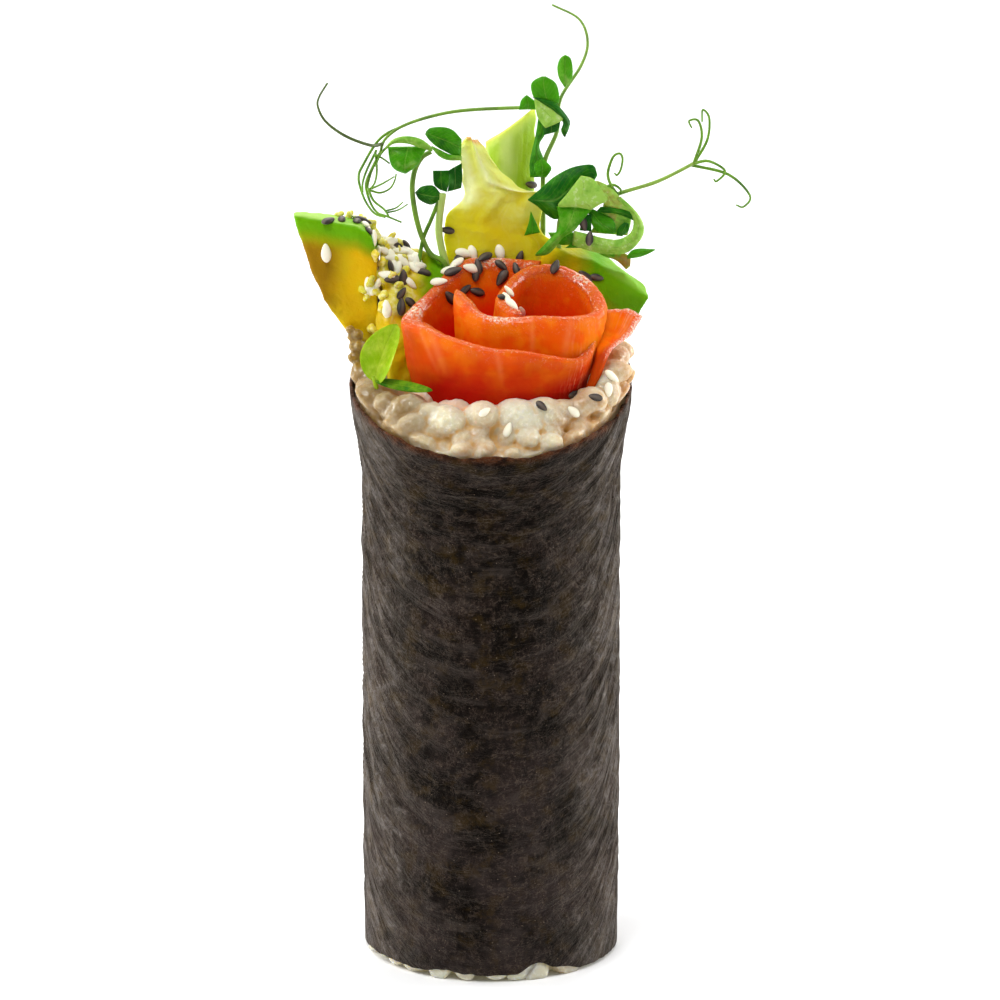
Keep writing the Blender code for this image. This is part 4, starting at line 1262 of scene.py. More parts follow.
def avocado_right():
    """The slice that fans out at the right behind the rose, its skin side outwards."""
    low = ((7, 3, 106), (12.5, 3, 106), (7, 11.5, 106), (11, 8, 106), (21, 7, 117), (8, 8, 118))
    front = ((9.5, 9, 133.6), (20.4, 8, 130.3), (25, 8, 128.6), (29.8, 9, 123.7), (27.9, 8, 120.6))
    back = ((11, 14, 134.5), (21, 14, 131), (29.3, 12.5, 125), (27, 12.5, 119.8), (10, 14, 117))
    piece = wedge("avocado_right_slice", low + front + back, 0.35 * MM, 9)

    def marks_of(x, _, z):
        edge = (x - 18.5) * 0.55 + (z - 131) * 0.83
        green = 0.35 * between(x, 10, 14) + between(edge, -6.5, -1.5) * between(x, 15, 23)
        amber = 0.7 * between(edge, -2.5, -6) * between(x, 13, 17)
        # pale marks the painted highlight along the top edge.
        marks = {"green": min(1, green), "pale": 0.6 * between(edge, -1.2, 0.6) * between(x, 18, 22)}
        return {**marks, "amber": amber, "shade": between(z, 129, 122) * between(edge, 0.5, -1.5)}

    planes = [((0, SALMON_BACK + FILLING_GAP), (0, -1)), ((FILLING_HALF + FILLING_GAP, 0), (-1, 0))]
    return joined("avocado_right_slice", [painted(piece, marks_of), stick("core", AVOCADO_TOP, planes)])


class HANDROLL_OT_avocado(bpy.types.Operator):
    """Adds the three pieces of avocado"""

    bl_idname = "hand_roll.avocado"
    bl_label = "Avocado"

    def execute(self, context):
        finish = avocado_finish()
        pieces = [avocado_left(), avocado_middle(), avocado_right()]
        crumbs = avocado_crumbs(pieces)
        for piece, node in zip(pieces, ("avocado_left", "avocado_middle", "avocado_right")):
            done(piece, finish, "avocado", node)
        done(crumbs, finish, "avocado")
        return {"FINISHED"}


# Lettuce

LETTUCE_THICKNESS = 1.3 * MM


def lettuce_finish(name, low, high, tip, milky):
    """A thin, slightly see-through leaf: its colours low down, high up and at its tip; milky sets how strong
    the pale highlight patches painted high up are.
    """
    look = Finish(name, 0.15, (0.4, (0.9, 1.0, 0.3), 2.0), coat_roughness=0.15)
    across, rise = look.attribute("across"), look.attribute("rise")
    spot = look.place()
    veins = look.noise(look.vector(across, rise), 0.1, 3, 0.5, 0.8, (1, 4, 1))
    cloud = look.noise(spot, 5 * MM, 4, 0.6)
    crumple = look.noise(spot, 1.6 * MM, 4, 0.6, 0.5)
    colour = look.mix((rise + (cloud - 0.5) * 0.9).step(0.25, 0.95), low, high)
    colour = look.mix(veins.step(0.5, 0.8) * 0.15, colour, srgb(238, 238, 160))
    # Painted highlight: pale whitish patches high up on the leaf.
    highlight_patches = (cloud + crumple * 0.15 - 0.07).step(0.35, 0.65) * rise.step(0.35, 0.7)
    pale = look.attribute("pale") * (0.5 + cloud * 0.8) + highlight_patches * milky
    colour = look.mix(pale.clamped(), colour, srgb(234, 238, 180))
    colour = look.mix(look.attribute("spot") * (0.3 + cloud), colour, srgb(218, 196, 4))
    colour = look.mix(look.attribute("tip"), colour, tip)
    look.set("Coat Weight", crumple.step(0.5, 0.75) * 0.5)
    return look.finish(colour, 0.34 + crumple * 0.2, crumple + cloud * 1.2 + veins * 0.4, 0.00025)


def blade(left, right, columns, around, bulge, pale, spots=()):
    """A leaf between two edge lines, a closed thin skin that bulge(across, rise) moves off the flat.

    pale(across, rise) says how pale it is, and spots are (across, rise, reach) of its yellow spots."""
    def place_of(u, v):
        across, lift = skin(v)
        spot = along(left, u).lerp(along(right, u), across)
        thin = LETTUCE_THICKNESS / 2 * tapered(u, 0.85, 0.15) * min(1, u * 30)
        fringe = 0.35 * MM * ripple(spot, 2.2 * MM, 5) * abs(2 * across - 1) ** 3
        return spot + bulge(across, u) + Vector((fringe, -lift * thin, fringe * (u > 0.3)))

    def marks_of(u, v):
        across, _ = skin(v)
        near = [between(math.hypot(across - x, (u - z) * 2), reach, 0.0) for x, z, reach in spots]
        marks = {"across": across, "rise": u, "tip": between(u, 0.955, 1.0)}
        return {**marks, "spot": max(near, default=0.0), "pale": pale(across, u)}

    return closed(shaped(grid("leaf", columns, around), place_of, marks_of))


def lettuce_stick(front, back):
    """The folded lettuce inside the roll, between two upright planes across it."""
    planes = [((0, front), (0, -1)), ((0, back), (0, 1))]
    planes += [((FILLING_HALF, 0), (1, 0)), ((-FILLING_HALF, 0), (-1, 0))]
    return stick("core", LETTUCE_TOP, planes)


def lettuce_front():
    """The pale inner leaf that stands behind the rose, with soft folds."""
    left = ((-5, 7, 106), (-7.6, 10, 122), (-8.6, 11.5, 134), (-8.2, 11.8, 138.8), (-5.3, 11.8, 142))
    left = smooth(left + ((-5.2, 12, 146), (-5.7, 12, 151.6), (-4.6, 12, 153.8)), 8)
    right = ((5, 7, 106), (9, 10, 122), (12.9, 11.5, 132), (9.2, 11.5, 136.4), (10.3, 11, 143))
    right = smooth(right + ((6.4, 11.4, 143.8), (1.7, 12, 147.4), (-2.4, 12, 153.2)), 8)

    def bulge(across, rise):
        fold = 0.8 * math.sin(3 * math.pi * across + 5 * rise) * math.sin(math.pi * across)
        rib = 0.9 * hump(across - 0.3, 0.2 * rise, 0.07)
        seam = 0.8 * hump(rise - 0.78, -0.12 * across, 0.035) * between(across, 0.25, 0.6)
        wave = ripple((across * 18, 0, rise * 48), 5, 4) + 0.5 * ripple((across * 18, 0, rise * 48), 2.2, 6)
        return place(0, (fold - rib - seam + 0.7 * wave) * rise, 0)

    def pale(across, rise):
        ridge = hump(across - 0.3, 0.2 * rise, 0.1)
        seam = hump(rise - 0.78, -0.12 * across, 0.04) * between(across, 0.2, 0.6)
        edge = between(across, 0.3, 0.05) * between(rise, 0.45, 0.6) * between(rise, 0.95, 0.8)
        return max(0.6 * ridge * between(rise, 0.5, 0.8), 0.8 * seam, edge)

    spots = ((0.42, 0.42, 0.14), (0.5, 0.36, 0.3))
    piece = blade(left, right, 120, 80, bulge, pale, spots)
    core = lettuce_stick(SALMON_BACK + FILLING_GAP, LETTUCE_SPLIT)
    return joined("lettuce_front_leaf", [piece, core])


def lettuce_back():
    """The greener leaf behind it, curled round into half a tube."""
    left = smooth(((-4.5, 12.6, 105), (-3, 15.5, 122), (-1.2, 16.5, 138), (-0.9, 16.5, 152)), 8)
    right = smooth(((4.5, 12.6, 105), (7, 15.5, 122), (7.8, 16.5, 138), (8.4, 16.5, 158.8)), 8)

    def bulge(across, rise):
        wave = 0.4 * ripple((across * 14, 0, rise * 50), 4, 7)
        return place(0, -(1 + 1.2 * rise + wave) * math.sin(math.pi * across), 0)

    def pale(across, rise):
        # The stripe down the middle of the curl is a painted highlight.
        stripe = hump(across, 0.42, 0.16) * 0.4
        tip, edge = 0.4 * between(rise, 0.93, 1.0), 0.4 * between(across, 0.12, 0.0)
        return max(stripe * between(rise, 0.6, 0.85), tip, edge)

    piece = blade(left, right, 90, 56, bulge, pale)
    core = lettuce_stick(LETTUCE_SPLIT + FILLING_GAP, CAVITY_RADIUS / MM)
    return joined("lettuce_back_leaf", [piece, core])


class HANDROLL_OT_lettuce(bpy.types.Operator):
    """Adds the two lettuce leaves behind the rose"""

    bl_idname = "hand_roll.lettuce"
    bl_label = "Lettuce"

    def execute(self, context):
        colours = context.scene.hand_roll_colours
        low, high, tip = srgb(216, 204, 22), colours.lettuce_pale, srgb(206, 140, 96)
        pale = lettuce_finish("pale_lettuce", low, high, tip, 0.24)
        low, high, tip = srgb(128, 160, 10), colours.lettuce_green, srgb(190, 204, 90)
        green = lettuce_finish("green_lettuce", low, high, tip, 0.0)
        done(lettuce_front(), pale, "pale_lettuce", "lettuce_front")
        done(lettuce_back(), green, "green_lettuce", "lettuce_back")
        return {"FINISHED"}


# Pea shoots

def leaf_finish(name, dark, middle, light):
    """A fresh leaf: three greens by the leaf's tone, from a painted shaded dark to a pale underside, fine
    side veins, a midrib and frosty whitish mottles.
    """
    look = Finish(name, 0.1, (0.15, (0.6, 1.0, 0.15), 0.8), coat_roughness=0.2)
    tone, rise, side = look.attribute("tone"), look.attribute("rise"), abs(look.attribute("across"))
    spot = look.place()
    cloud = look.noise(spot, 2.4 * MM, 4, 0.6)
    fine = look.noise(spot, 0.9 * MM, 4, 0.65)
    shade = (tone + (cloud - 0.5) * 0.9).clamped()
    colour = look.mix(shade.step(0.0, 0.5), dark, middle)
    colour = look.mix(shade.step(0.5, 1.0), colour, light)
    veins = (rise * 50 - side * 18 + cloud * 6).math("SINE").step(0.75, 1.0) * 0.3
    midrib = side.step(0.08, 0.02)
    lines = (veins + midrib * 0.8).clamped()
    colour = look.mix(lines * 0.22, colour, light)
    frost = tone.step(0.6, 0.95) * fine.step(0.5, 0.7) * cloud.step(0.4, 0.6)
    colour = look.mix(frost * 0.6, colour, srgb(216, 228, 172))
    colour = look.mix(look.attribute("brown") * cloud.step(0.45, 0.6), colour, srgb(152, 128, 44))
    look.set("Coat Weight", cloud.step(0.5, 0.75) * 0.6)
    return look.finish(colour, 0.34 + cloud * 0.2, cloud * 1.2 - lines * 0.4, 0.0003)


def stem_finish():
    """A pea shoot's stem, green with paler streaks; a tone below 0 is browner."""
    colours = bpy.context.scene.hand_roll_colours
    look = Finish("pea_stem", 0.25, (0.15, (0.6, 1.0, 0.2), 0.8))
    cloud = look.noise(look.place(), 2.5 * MM, 4)
    tone = look.attribute("tone")
    colour = look.mix(cloud.step(0.4, 0.7), colours.stem, srgb(66, 110, 20))
    colour = look.mix(tone, colour, srgb(184, 208, 112))
    colour = look.mix((tone * -1).clamped(), colour, srgb(70, 76, 44))
    return look.finish(colour, 0.35 + cloud * 0.15, cloud, 0.0001)


def leaf(base, tip, width, side, tone, cup, arch=0.1):
    """A leaf from base to tip, spread towards side, cupped along its midrib and arched along its length."""
    thickness = bpy.context.scene.hand_roll_sizes.leaf_thickness
    start, end = place(*base), place(*tip)
    run = end - start
    spread = Vector(side) - run * Vector(side).dot(run) / run.length_squared
    spread.normalize()
    up = spread.cross(run.normalized())

    def place_of(u, v):
        across, lift = skin(v)
        across = 2 * across - 1
        swell = max(0.0, math.sin(math.pi * u ** 0.85))
        lifted = arch * run.length * swell + cup * width * MM * across * across * swell
        half = width * MM / 2 * swell ** 0.55
        point = start + run * u + spread * half * across + up * lifted
        wave = 0.03 * width * MM * ripple(point, 2.4 * MM, tone)
        return point + up * (wave + lift * thickness / 2 * min(1.0, 3 * swell))

    def marks_of(u, v):
        return {"rise": u, "across": 2 * skin(v)[0] - 1, "tone": tone}

    return closed(shaped(grid("leaf", *LEAF_GRID), place_of, marks_of))


def panel(y, left, right, tone, cup, brown=0.0):
    """A leaf that faces the front at depth y, between two edges given as (x, z) in mm.

    tone: 0 dark to 1 pale. cup: how far it bulges, in mm. brown: how withered it is."""
    thickness = bpy.context.scene.hand_roll_sizes.leaf_thickness
    sides = [even(smooth([(x, y, z) for x, z in side], 6), 24) for side in (left, right)]

    def place_of(u, v):
        across, lift = skin(v)
        spot = along(sides[0], u).lerp(along(sides[1], u), across)
        swell = math.sin(math.pi * u)
        depth = cup * MM * swell * math.sin(math.pi * across) + 0.35 * MM * ripple(spot, 2.2 * MM, tone)
        return spot - Vector((0, depth + lift * thickness / 2 * min(1.0, 4 * swell), 0))

    def marks_of(u, v):
        return {"rise": u, "across": 2 * skin(v)[0] - 1, "tone": tone, "brown": brown}

    return closed(shaped(grid("leaf", *LEAF_GRID), place_of, marks_of))


def stem(corners, thickness, end, tone=0.0):
    """A round stem along a smooth curve through the corners, tapering to this share of its thickness."""
    points = smooth(corners, 7)
    curve = bpy.data.curves.new("stem", "CURVE")
    curve.dimensions = "3D"
    curve.bevel_depth = 1.0
    curve.bevel_resolution = 2
    curve.use_fill_caps = True
    line = curve.splines.new("POLY")
    line.points.add(len(points) - 1)
    for index, (spot, point) in enumerate(zip(line.points, points)):
        share = index / (len(points) - 1)
        spot.co = (*point, 1)
        spot.radius = thickness / 2 * (1 + (end - 1) * share) * (1 + 0.08 * ripple(point, 4 * MM, 2))
    piece = bpy.data.objects.new("stem", curve)
    bpy.context.scene.collection.objects.link(piece)
    active(piece)
    bpy.ops.object.convert(target="MESH")
    piece = bpy.context.object
    marked(piece, "tone", [tone] * len(piece.data.vertices))
    return closed(piece)


def shoot(name, stems, leaves, leaf_look, stem_look):
    """One shoot: its stems and its leaves, each joined into one piece."""
    done(joined(name + "_stems", stems), stem_look, "pea_shoot", name)
    done(joined(name + "_leaves", leaves), leaf_look, "pea_shoot", name)


def shoot_left(leaf_look, stem_look):
    """The shoot at the left: two crossing stems, a pale one and its folded leaves."""
    size = bpy.context.scene.hand_roll_sizes.stem_thickness
    tall = ((-11.1, 8.5, 151.7), (-12.8, 8.4, 150.6), (-14.1, 8.4, 148.2), (-14.6, 8.3, 145.2))
    tall += ((-14.4, 8.2, 142.2), (-13.7, 8.2, 138.4), (-12.7, 8.1, 135.2), (-11.2, 8.1, 132.3))
    tall += ((-8.5, 8, 130.3), (-7.3, 8.3, 124.4), (-7.1, 7.7, 118.4))
    crossing = ((-9.2, 9.5, 143.4), (-11, 8.8, 139), (-12.6, 8.2, 135.2), (-13.4, 7, 131))
    pale = ((-9, 9.1, 143.6), (-9.7, 9.2, 137.4), (-9.3, 9, 133.6), (-8.2, 8.8, 129.5))
    hook = ((-19.6, 7, 152.6), (-20.6, 6, 151.4), (-21.3, 5, 149.6))
    spur = ((-21.3, 6, 151.7), (-19.8, 6.5, 150.7), (-18.8, 7, 149.8))
    stems = [
        stem(tall, size, 1.1, 0.1),
        stem(crossing, size * 0.9, 0.9),
        stem(pale, size * 1.5, 1, 0.85),
        stem(hook, size * 0.5, 0.5),
        stem(spur, size * 0.4, 0.8),
    ]
    leaves = [
        panel(7.6, ((-19.1, 152.8), (-18.8, 150.3), (-18, 148.6), (-16, 147.7)),
              ((-11.4, 153), (-12.8, 151.1), (-13.5, 149.4), (-15.7, 147.7)), 0.55, 1.2),
        panel(6.6, ((-19.6, 152.3), (-17.9, 153.6), (-15.3, 153.6), (-12.7, 152.7), (-10.8, 152.1)),
              ((-19.8, 152.7), (-17.9, 154.6), (-15.3, 155.1), (-12.9, 154.5), (-10.8, 152.9)), 0.8, 0.5),
        panel(9.4, ((-12.2, 154.8), (-11.3, 153.5), (-9.4, 152), (-7.2, 150.9), (-5.5, 150.6)),
              ((-12, 155.4), (-11.1, 156.1), (-9.1, 156.2), (-7, 155.6), (-5.4, 153.9)), 0.32, 0.9),
        panel(9.0, ((-11.1, 152.5), (-9.8, 150.8), (-8, 150), (-5.4, 149.9)),
              ((-10.9, 152.7), (-9.4, 151.9), (-7.6, 151.1), (-5.4, 150.8)), 0.7, 0.4),
        panel(10, ((-10.8, 147.8), (-10.6, 145.2), (-9.5, 144.1)),
              ((-7.8, 147.8), (-7.8, 145.6), (-8.2, 143.7)), 0.15, 0.4),
        panel(10.6, ((-8, 147.6), (-7.9, 145.1), (-8.1, 143.6)),
              ((-5.4, 149.1), (-5.3, 146.2), (-5.5, 144.3)), 0.05, 0.5),
        panel(8.8, ((-14.1, 143.8), (-13.2, 142.4), (-11.1, 141.5), (-9.5, 142.6)),
              ((-14, 144), (-12.8, 145.1), (-10.7, 145.2), (-9.4, 143.8)), 0.12, 0.8),
    ]
    shoot("shoot_left", stems, leaves, leaf_look, stem_look)


def shoot_top(leaf_look, stem_look):
    """The tallest shoot: an arching tip with buds, and a long stem that ends in tendrils at the left."""
    size = bpy.context.scene.hand_roll_sizes.stem_thickness
    tall = ((9.0, 12, 117), (9.7, 12.8, 132), (9.7, 13.4, 143.9), (10.1, 13.2, 149.1))
    tall += ((12.3, 13, 154.6), (12.9, 13, 160.7), (16.7, 11.5, 167.3), (17.9, 9.5, 172.2))
    tall += ((16.3, 8.5, 176.7), (11.3, 8, 179.5))
    long = ((12.8, 13, 158.2), (10.1, 13.5, 158.9), (3.6, 15, 158.6), (-7, 14, 158.1), (-15.3, 10, 156.7))
    long += ((-19.4, 8, 154.4), (-20.6, 7, 151.6), (-22, 6, 148.8), (-22.7, 5, 146.7), (-22.9, 4, 145.2))
    free = ((-20.1, 6, 153.7), (-22.3, 9, 152.8), (-26.9, 10, 154.3), (-30.6, 11, 156.8))
    free += ((-32.1, 12, 159.4), (-31.9, 13, 161.1), (-30.4, 15, 163.3))
    # The tendrils, thickest first
    tendrils = (
        ((-15.3, 10, 156.7), (-20.4, 9, 154.2), (-23.8, 7.5, 149.2), (-24.5, 6, 147.3), (-23.9, 4.5, 144.9),
         (-22.9, 3, 143), (-21.4, 1.5, 141.5), (-19.5, 0, 141.2)),
        ((-20.6, 7, 151.7), (-22.3, 5.6, 148.5), (-23.1, 4.2, 146.2), (-22.3, 2.8, 143.4),
         (-21, 1.3, 141.8), (-19.2, -0.1, 141.4), (-16.5, -1.5, 140.6)),
        ((-22.7, 3, 146), (-21.7, 1.7, 144), (-19.7, 0.3, 142.6), (-18.7, -1, 141.4)),
        ((-21.2, 8, 152.1), (-22.9, 6.3, 148.9), (-23.7, 4.7, 146.8), (-23.7, 3, 145.2)),
        ((-21.4, 7, 152), (-21.1, 5.7, 148.8), (-21.5, 4.3, 146.7), (-22.5, 3, 145.7)),
        ((-22.3, 3, 145.6), (-20.5, 3.2, 145.1), (-18.7, 3.5, 145.8), (-17.8, 3.8, 147.2), (-17.5, 4, 148.5)),
        ((-22.1, 3, 145.9), (-20.1, 3.2, 146.8), (-17.8, 3.5, 148.1)),
        ((-19.5, -1, 142.6), (-17.5, -1.5, 143.3), (-16.2, -2, 144.5)),
        ((-19.1, -1, 142.3), (-17.1, -1.5, 142.9), (-15.3, -2, 144.1)),
    )
    stems = [
        stem(tall, size * 1.15, 0.35, 0.2),
        stem(long, size * 0.85, 0.5, 0.15),
        stem(free, size * 0.75, 0.5, -0.8),
    ] + [stem(line, size * (0.62 - 0.03 * index), 0.65) for index, line in enumerate(tendrils)]
    leaves = [
        panel(10.5, ((13.7, 163.4), (12.6, 165.2), (12.3, 167.3), (12.8, 168.9), (13.7, 169.6)),
              ((13.7, 163.4), (14.9, 164.6), (15.2, 166.7), (14.8, 168.9), (13.8, 169.6)), 0.6, 0.6),
        panel(11.8, ((10.6, 158.8), (8.2, 160.8), (7.4, 163.1), (7.8, 164.4), (9.5, 165.3)),
              ((11, 158.8), (12.6, 160.3), (12.6, 162.4), (11.9, 164.2), (10.2, 165.3)), 0.5, 1.0),
        panel(10.8, ((7.8, 161.5), (9.7, 160), (11.9, 158.3), (13.4, 156.8), (13, 155.3), (13.5, 154.1)),
              ((7.8, 161.6), (10, 161.2), (12.3, 160.2), (14.6, 157.3), (14.6, 155.9), (13.8, 153.9)),
              0.12, 0.9),
        panel(10, ((8, 161.4), (8.3, 159.4), (8.7, 157.8), (9.5, 156.6), (10.1, 155.9)),
              ((8.2, 161.4), (10, 160.2), (11.9, 159), (13.6, 157.6), (10.3, 155.9)), 0.95, 0.2),
        panel(11.4, ((9.5, 156.9), (9.7, 155.2), (9.8, 154.2)),
              ((13, 157.9), (12.8, 155.9), (12.4, 154.9)), 0.1, 0.3),
        panel(12.5, ((5.2, 158.8), (5.6, 160.6), (6.6, 161.6)),
              ((8.6, 158.8), (8.5, 160.1), (6.8, 161.5)), 0.45, 0.4),
        panel(12.3, ((8.8, 157.3), (8.3, 154), (7.7, 151.4), (7.2, 148.7), (7.3, 146)),
              ((10.4, 157.1), (10.1, 154.2), (9, 152.1), (9.9, 149.3), (10.3, 146)), 0.3, 0.7),
        panel(11.8, ((8.4, 149.9), (8.0, 148), (8.6, 146.3)),
              ((10.1, 149.3), (11.3, 147.9), (10.3, 146)), 0.5, 0.6),
    ]
    shoot("shoot_top", stems, leaves, leaf_look, stem_look)


def shoot_right(leaf_look, stem_look):
    """The shoot at the right: its leaves over the avocado and its tendrils out to the side."""
    size = bpy.context.scene.hand_roll_sizes.stem_thickness
    tall = ((13, 10.6, 129.5), (12.6, 9.8, 136.2), (13.6, 9.2, 139.6), (18.3, 9, 141.2), (23.8, 8.7, 143.7))
    tall += ((31, 5, 146.9), (38.1, 1, 151.5))
    curls = (
        ((37.5, 1.4, 151.1), (38.8, -1, 156.4), (38.1, -2, 159.8), (36.4, -2.6, 159.9), (36.9, -2.6, 158.6)),
        ((37.5, 1.4, 151.1), (39.9, 2, 155.3), (40.3, 3.6, 159.1), (39.1, 4.4, 160.5), (39, 4, 158.3)),
        ((37.1, 1.6, 150.9), (40.1, -0.5, 151.9), (43.1, -2, 150.4), (41.6, -2.6, 148.6), (41, -2.6, 149)),
        ((36.8, 1.8, 150.7), (43.9, 3, 148.6), (48.0, 5, 144.2), (46.9, 6, 141.8), (45.5, 6.2, 142.1)),
        ((23.6, 8, 143.6), (22.3, 6.9, 145.7), (21.7, 6.8, 148), (22.6, 6.6, 151), (23.8, 6.5, 151.8),
         (24.4, 6.4, 150.9), (24.1, 6.2, 148.9), (23.4, 6.1, 147.8), (22.9, 6, 148.2)),
        ((21.2, 7, 145.2), (22.7, 7.2, 145.7), (24, 7.3, 144.9), (24.2, 7.5, 144)),
    )
    stems = [stem(curl, size * 0.65, 0.55) for curl in curls] + [stem(tall, size, 0.7, 0.3)]
    leaves = [
        panel(8.8, ((6.9, 142.4), (8.6, 141.3), (10.3, 139.6), (12.4, 138.7), (14.5, 141.5), (16, 144.5),
                    (19, 145.7)),
              ((6.9, 142.6), (9.3, 144.7), (11.9, 147), (14.9, 148.6), (17.5, 149.2), (19.2, 149),
               (19.8, 147.2)), 0.14, 1.6),
        panel(6.2, ((16.7, 147.7), (15.4, 145.9), (13.8, 143.8), (12.3, 141.8), (15.6, 141.7), (18.7, 141.1)),
              ((17.2, 147.6), (18.9, 147.1), (20.2, 145.5), (21.8, 143.1), (20.4, 142.3), (18.9, 141.3)),
              0.95, 0.7),
        panel(6.6, ((12.2, 141.8), (12.7, 139.3), (12.4, 137.4), (10.3, 134.9), (8.6, 133), (8.2, 132.4)),
              ((19, 141.4), (16.9, 138.9), (15.6, 137.2), (13.4, 135.7), (11, 132.8), (8.6, 132.2)),
              0.6, 0.9),
        panel(7.6, ((18, 140.5), (18.9, 137.8), (20.1, 136.6), (22.9, 136.3)),
              ((19, 141), (21.2, 139.9), (22.9, 138.8), (23.3, 136.5)), 0.35, 0.5),
        panel(7, ((19.4, 140.5), (22.7, 140.3), (24.9, 139.7), (26.6, 138.9)),
              ((20.4, 141.6), (23.4, 141.3), (25.5, 140.8), (26.8, 139.7)), 0.2, 0.3),
        panel(7.2, ((23.3, 136), (23.7, 137.5), (24.8, 138.6)),
              ((24.4, 135.9), (25.6, 136.9), (25.7, 138.4)), 0.15, 0.3),
        panel(6.2, ((25.3, 132.5), (26.4, 133.6), (28.3, 133.8), (30.5, 133.7)),
              ((25.4, 131.9), (27.2, 132.1), (28.7, 132.5), (30.6, 133.5)), 0.5, 0.3),
        panel(7.6, ((15.7, 136), (14.9, 134.5), (13.8, 133.6)),
              ((19.4, 136), (19, 134.5), (18.6, 133.6)), 0.45, 0.3),
        panel(8.6, ((6.2, 135.7), (7, 138.1), (7.4, 140.3)),
              ((9.2, 136.3), (8.4, 138.3), (7.5, 140.3)), 0.5, 0.2),
        panel(6.9, ((19.4, 146.5), (19.6, 144.5), (20.6, 143.2), (21.3, 141.8)),
              ((19.9, 146.5), (21.6, 145.7), (23.1, 144.5), (24.2, 143.0), (25.8, 140.7)), 1.0, 0.5, 0.5),
        panel(8.3, ((21.2, 143.4), (20.7, 140.9), (19.7, 138.6), (18.5, 136.3)),
              ((23.9, 143.2), (25.6, 140.9), (26.1, 138.6), (25.4, 135.8)), 0.85, 0.5, 0.6),
        panel(8.4, ((10.6, 136.4), (11.6, 134.8), (13.0, 134.0)),
              ((15.5, 136.4), (18.2, 135.0), (20.0, 133.8)), 0.6, 0.4),
        panel(8.2, ((19.5, 132.8), (21.2, 131.8), (23.4, 131.0), (25.2, 129.3)),
              ((21.9, 133.1), (23.9, 132.8), (25.9, 131.8), (26.0, 130.0)), 0.7, 0.4, 1.0),
        panel(7.2, ((16.0, 139.9), (16.6, 138.4), (16.5, 137.0)),
              ((18.7, 140.1), (18.7, 138.4), (18.7, 136.8)), 0.1, 0.2),
        panel(6.4, ((23.4, 143.2), (25.1, 141.6), (26.2, 140.1), (26.5, 138.4), (25.9, 136.7), (23.8, 135.5),
                    (21.2, 135.7), (18.2, 136.5), (15.4, 137.2)),
              ((24, 143.7), (26.4, 141.5), (28.2, 139), (28.5, 136.9), (27.6, 135), (25.5, 133),
               (22.5, 132.6), (18.6, 133.2), (15.1, 134.4)), 0.85, 0.7),
    ]
    shoot("shoot_right", stems, leaves, leaf_look, stem_look)


class HANDROLL_OT_pea_shoots(bpy.types.Operator):
    """Adds the three pea shoots"""

    bl_idname = "hand_roll.pea_shoots"
    bl_label = "Pea shoots"

    def execute(self, context):
        colours = context.scene.hand_roll_colours
        leaf_look = leaf_finish("pea_leaf", colours.leaf_dark, colours.leaf, colours.leaf_light)
        stem_look = stem_finish()
        shoot_left(leaf_look, stem_look)
        shoot_top(leaf_look, stem_look)
        shoot_right(leaf_look, stem_look)
        return {"FINISHED"}


class HANDROLL_OT_sprout(bpy.types.Operator):
    """Adds the bright seedling at the left of the rose"""

    bl_idname = "hand_roll.sprout"
    bl_label = "Sprout"

    def execute(self, context):
        look = leaf_finish("sprout", srgb(36, 108, 8), srgb(140, 178, 4), srgb(206, 218, 70))
        size = context.scene.hand_roll_sizes.stem_thickness
        pieces = [
            leaf((-21.4, -10.2, 112.2), (-17.3, -8.4, 123.0), 6.6, (1, -0.4, 0), 0.62, 0.4),
            leaf((-21.4, -10.6, 112.8), (-10.6, -17.2, 112.6), 2, (0, 0.5, 1), 0.2, 0.15, 0.04),
            stem(((-20.4, -9.6, 108.5), (-21, -10.2, 111), (-21.6, -10.4, 113.6)), size, 0.8, 0.4),
        ]
        done(joined("sprout_leaves", pieces), look, "sprout", "sprout_front")
        return {"FINISHED"}


# Sesame seeds

# Where each seed lies, as x and z in mm where the line of sight crosses the plane y = 0, and any further turn
BLACK_SEEDS = (
    (-30.1, 140.5), (-27.7, 140.9), (-25.4, 142.6), (-24.9, 140.5), (-22.1, 140.5), (-22.7, 138.6),
    (-19.4, 139), (-17.7, 135.9), (-15.5, 136.7), (-16.4, 129.7), (-12.7, 130.8), (-18.5, 129.5),
    (-16.6, 126.8), (-16.7, 124.1), (-14.8, 124.9), (-5.7, 134), (-1.1, 133.8), (5.4, 134), (-7, 131),
    (-2.9, 130.6), (-2.4, 132.1), (1.9, 132.3), (2.1, 130), (4.7, 131.7), (11.9, 131.9), (-2.6, 127.2),
    (-4.8, 127.6), (-7.6, 126), (2.4, 125.7), (17.6, 130.2), (19.7, 130), (9.3, 104.8), (15.3, 107.3),
    (19.2, 106.5), (-8.1, 139.3), (7.4, 148.2), (17.2, 140.3), (18.3, 137.4),
    (-25.6, 142.1), (-23.8, 140.8), (-21.4, 139.4), (-15.9, 136.2), (-18.7, 131.6), (-20.9, 125.5),
)
WHITE_SEEDS = (
    (-23.4, 139.9), (-20.3, 139), (-30.5, 134.6, 2.1), (-19, 136.7), (-21.2, 134.8), (-18.5, 134),
    (-15.3, 134.8), (-17.7, 131.9), (-14.4, 133.3), (-14.4, 131.9), (-15, 128.7), (-22.7, 128.5),
    (-22.2, 127.9), (-19.2, 123.7), (-5, 134.8), (-3.3, 134.8), (1.7, 134.8), (-6.4, 132.5),
    (-7.7, 131.2), (-3.7, 131.7), (-9.6, 128.9), (3.2, 127.0), (2.9, 125.4), (3.8, 124.3), (5.5, 123.3),
    (21.6, 108), (15.1, 103.8), (3.2, 100.2), (-1.1, 103.6), (22.2, 110.5),
    (-21.8, 137.3), (-20.3, 137.3), (-19.9, 135.0), (-17.9, 136.0), (-16.8, 135.0), (-14.2, 133.1),
    (-16.4, 133.1), (-18.5, 133.6), (-13.3, 132.1), (-22.6, 127.6), (-21.1, 128.7), (-24.9, 141.4),
    (-23.1, 139.5), (-17.4, 131.6), (-19.4, 130.2),
)


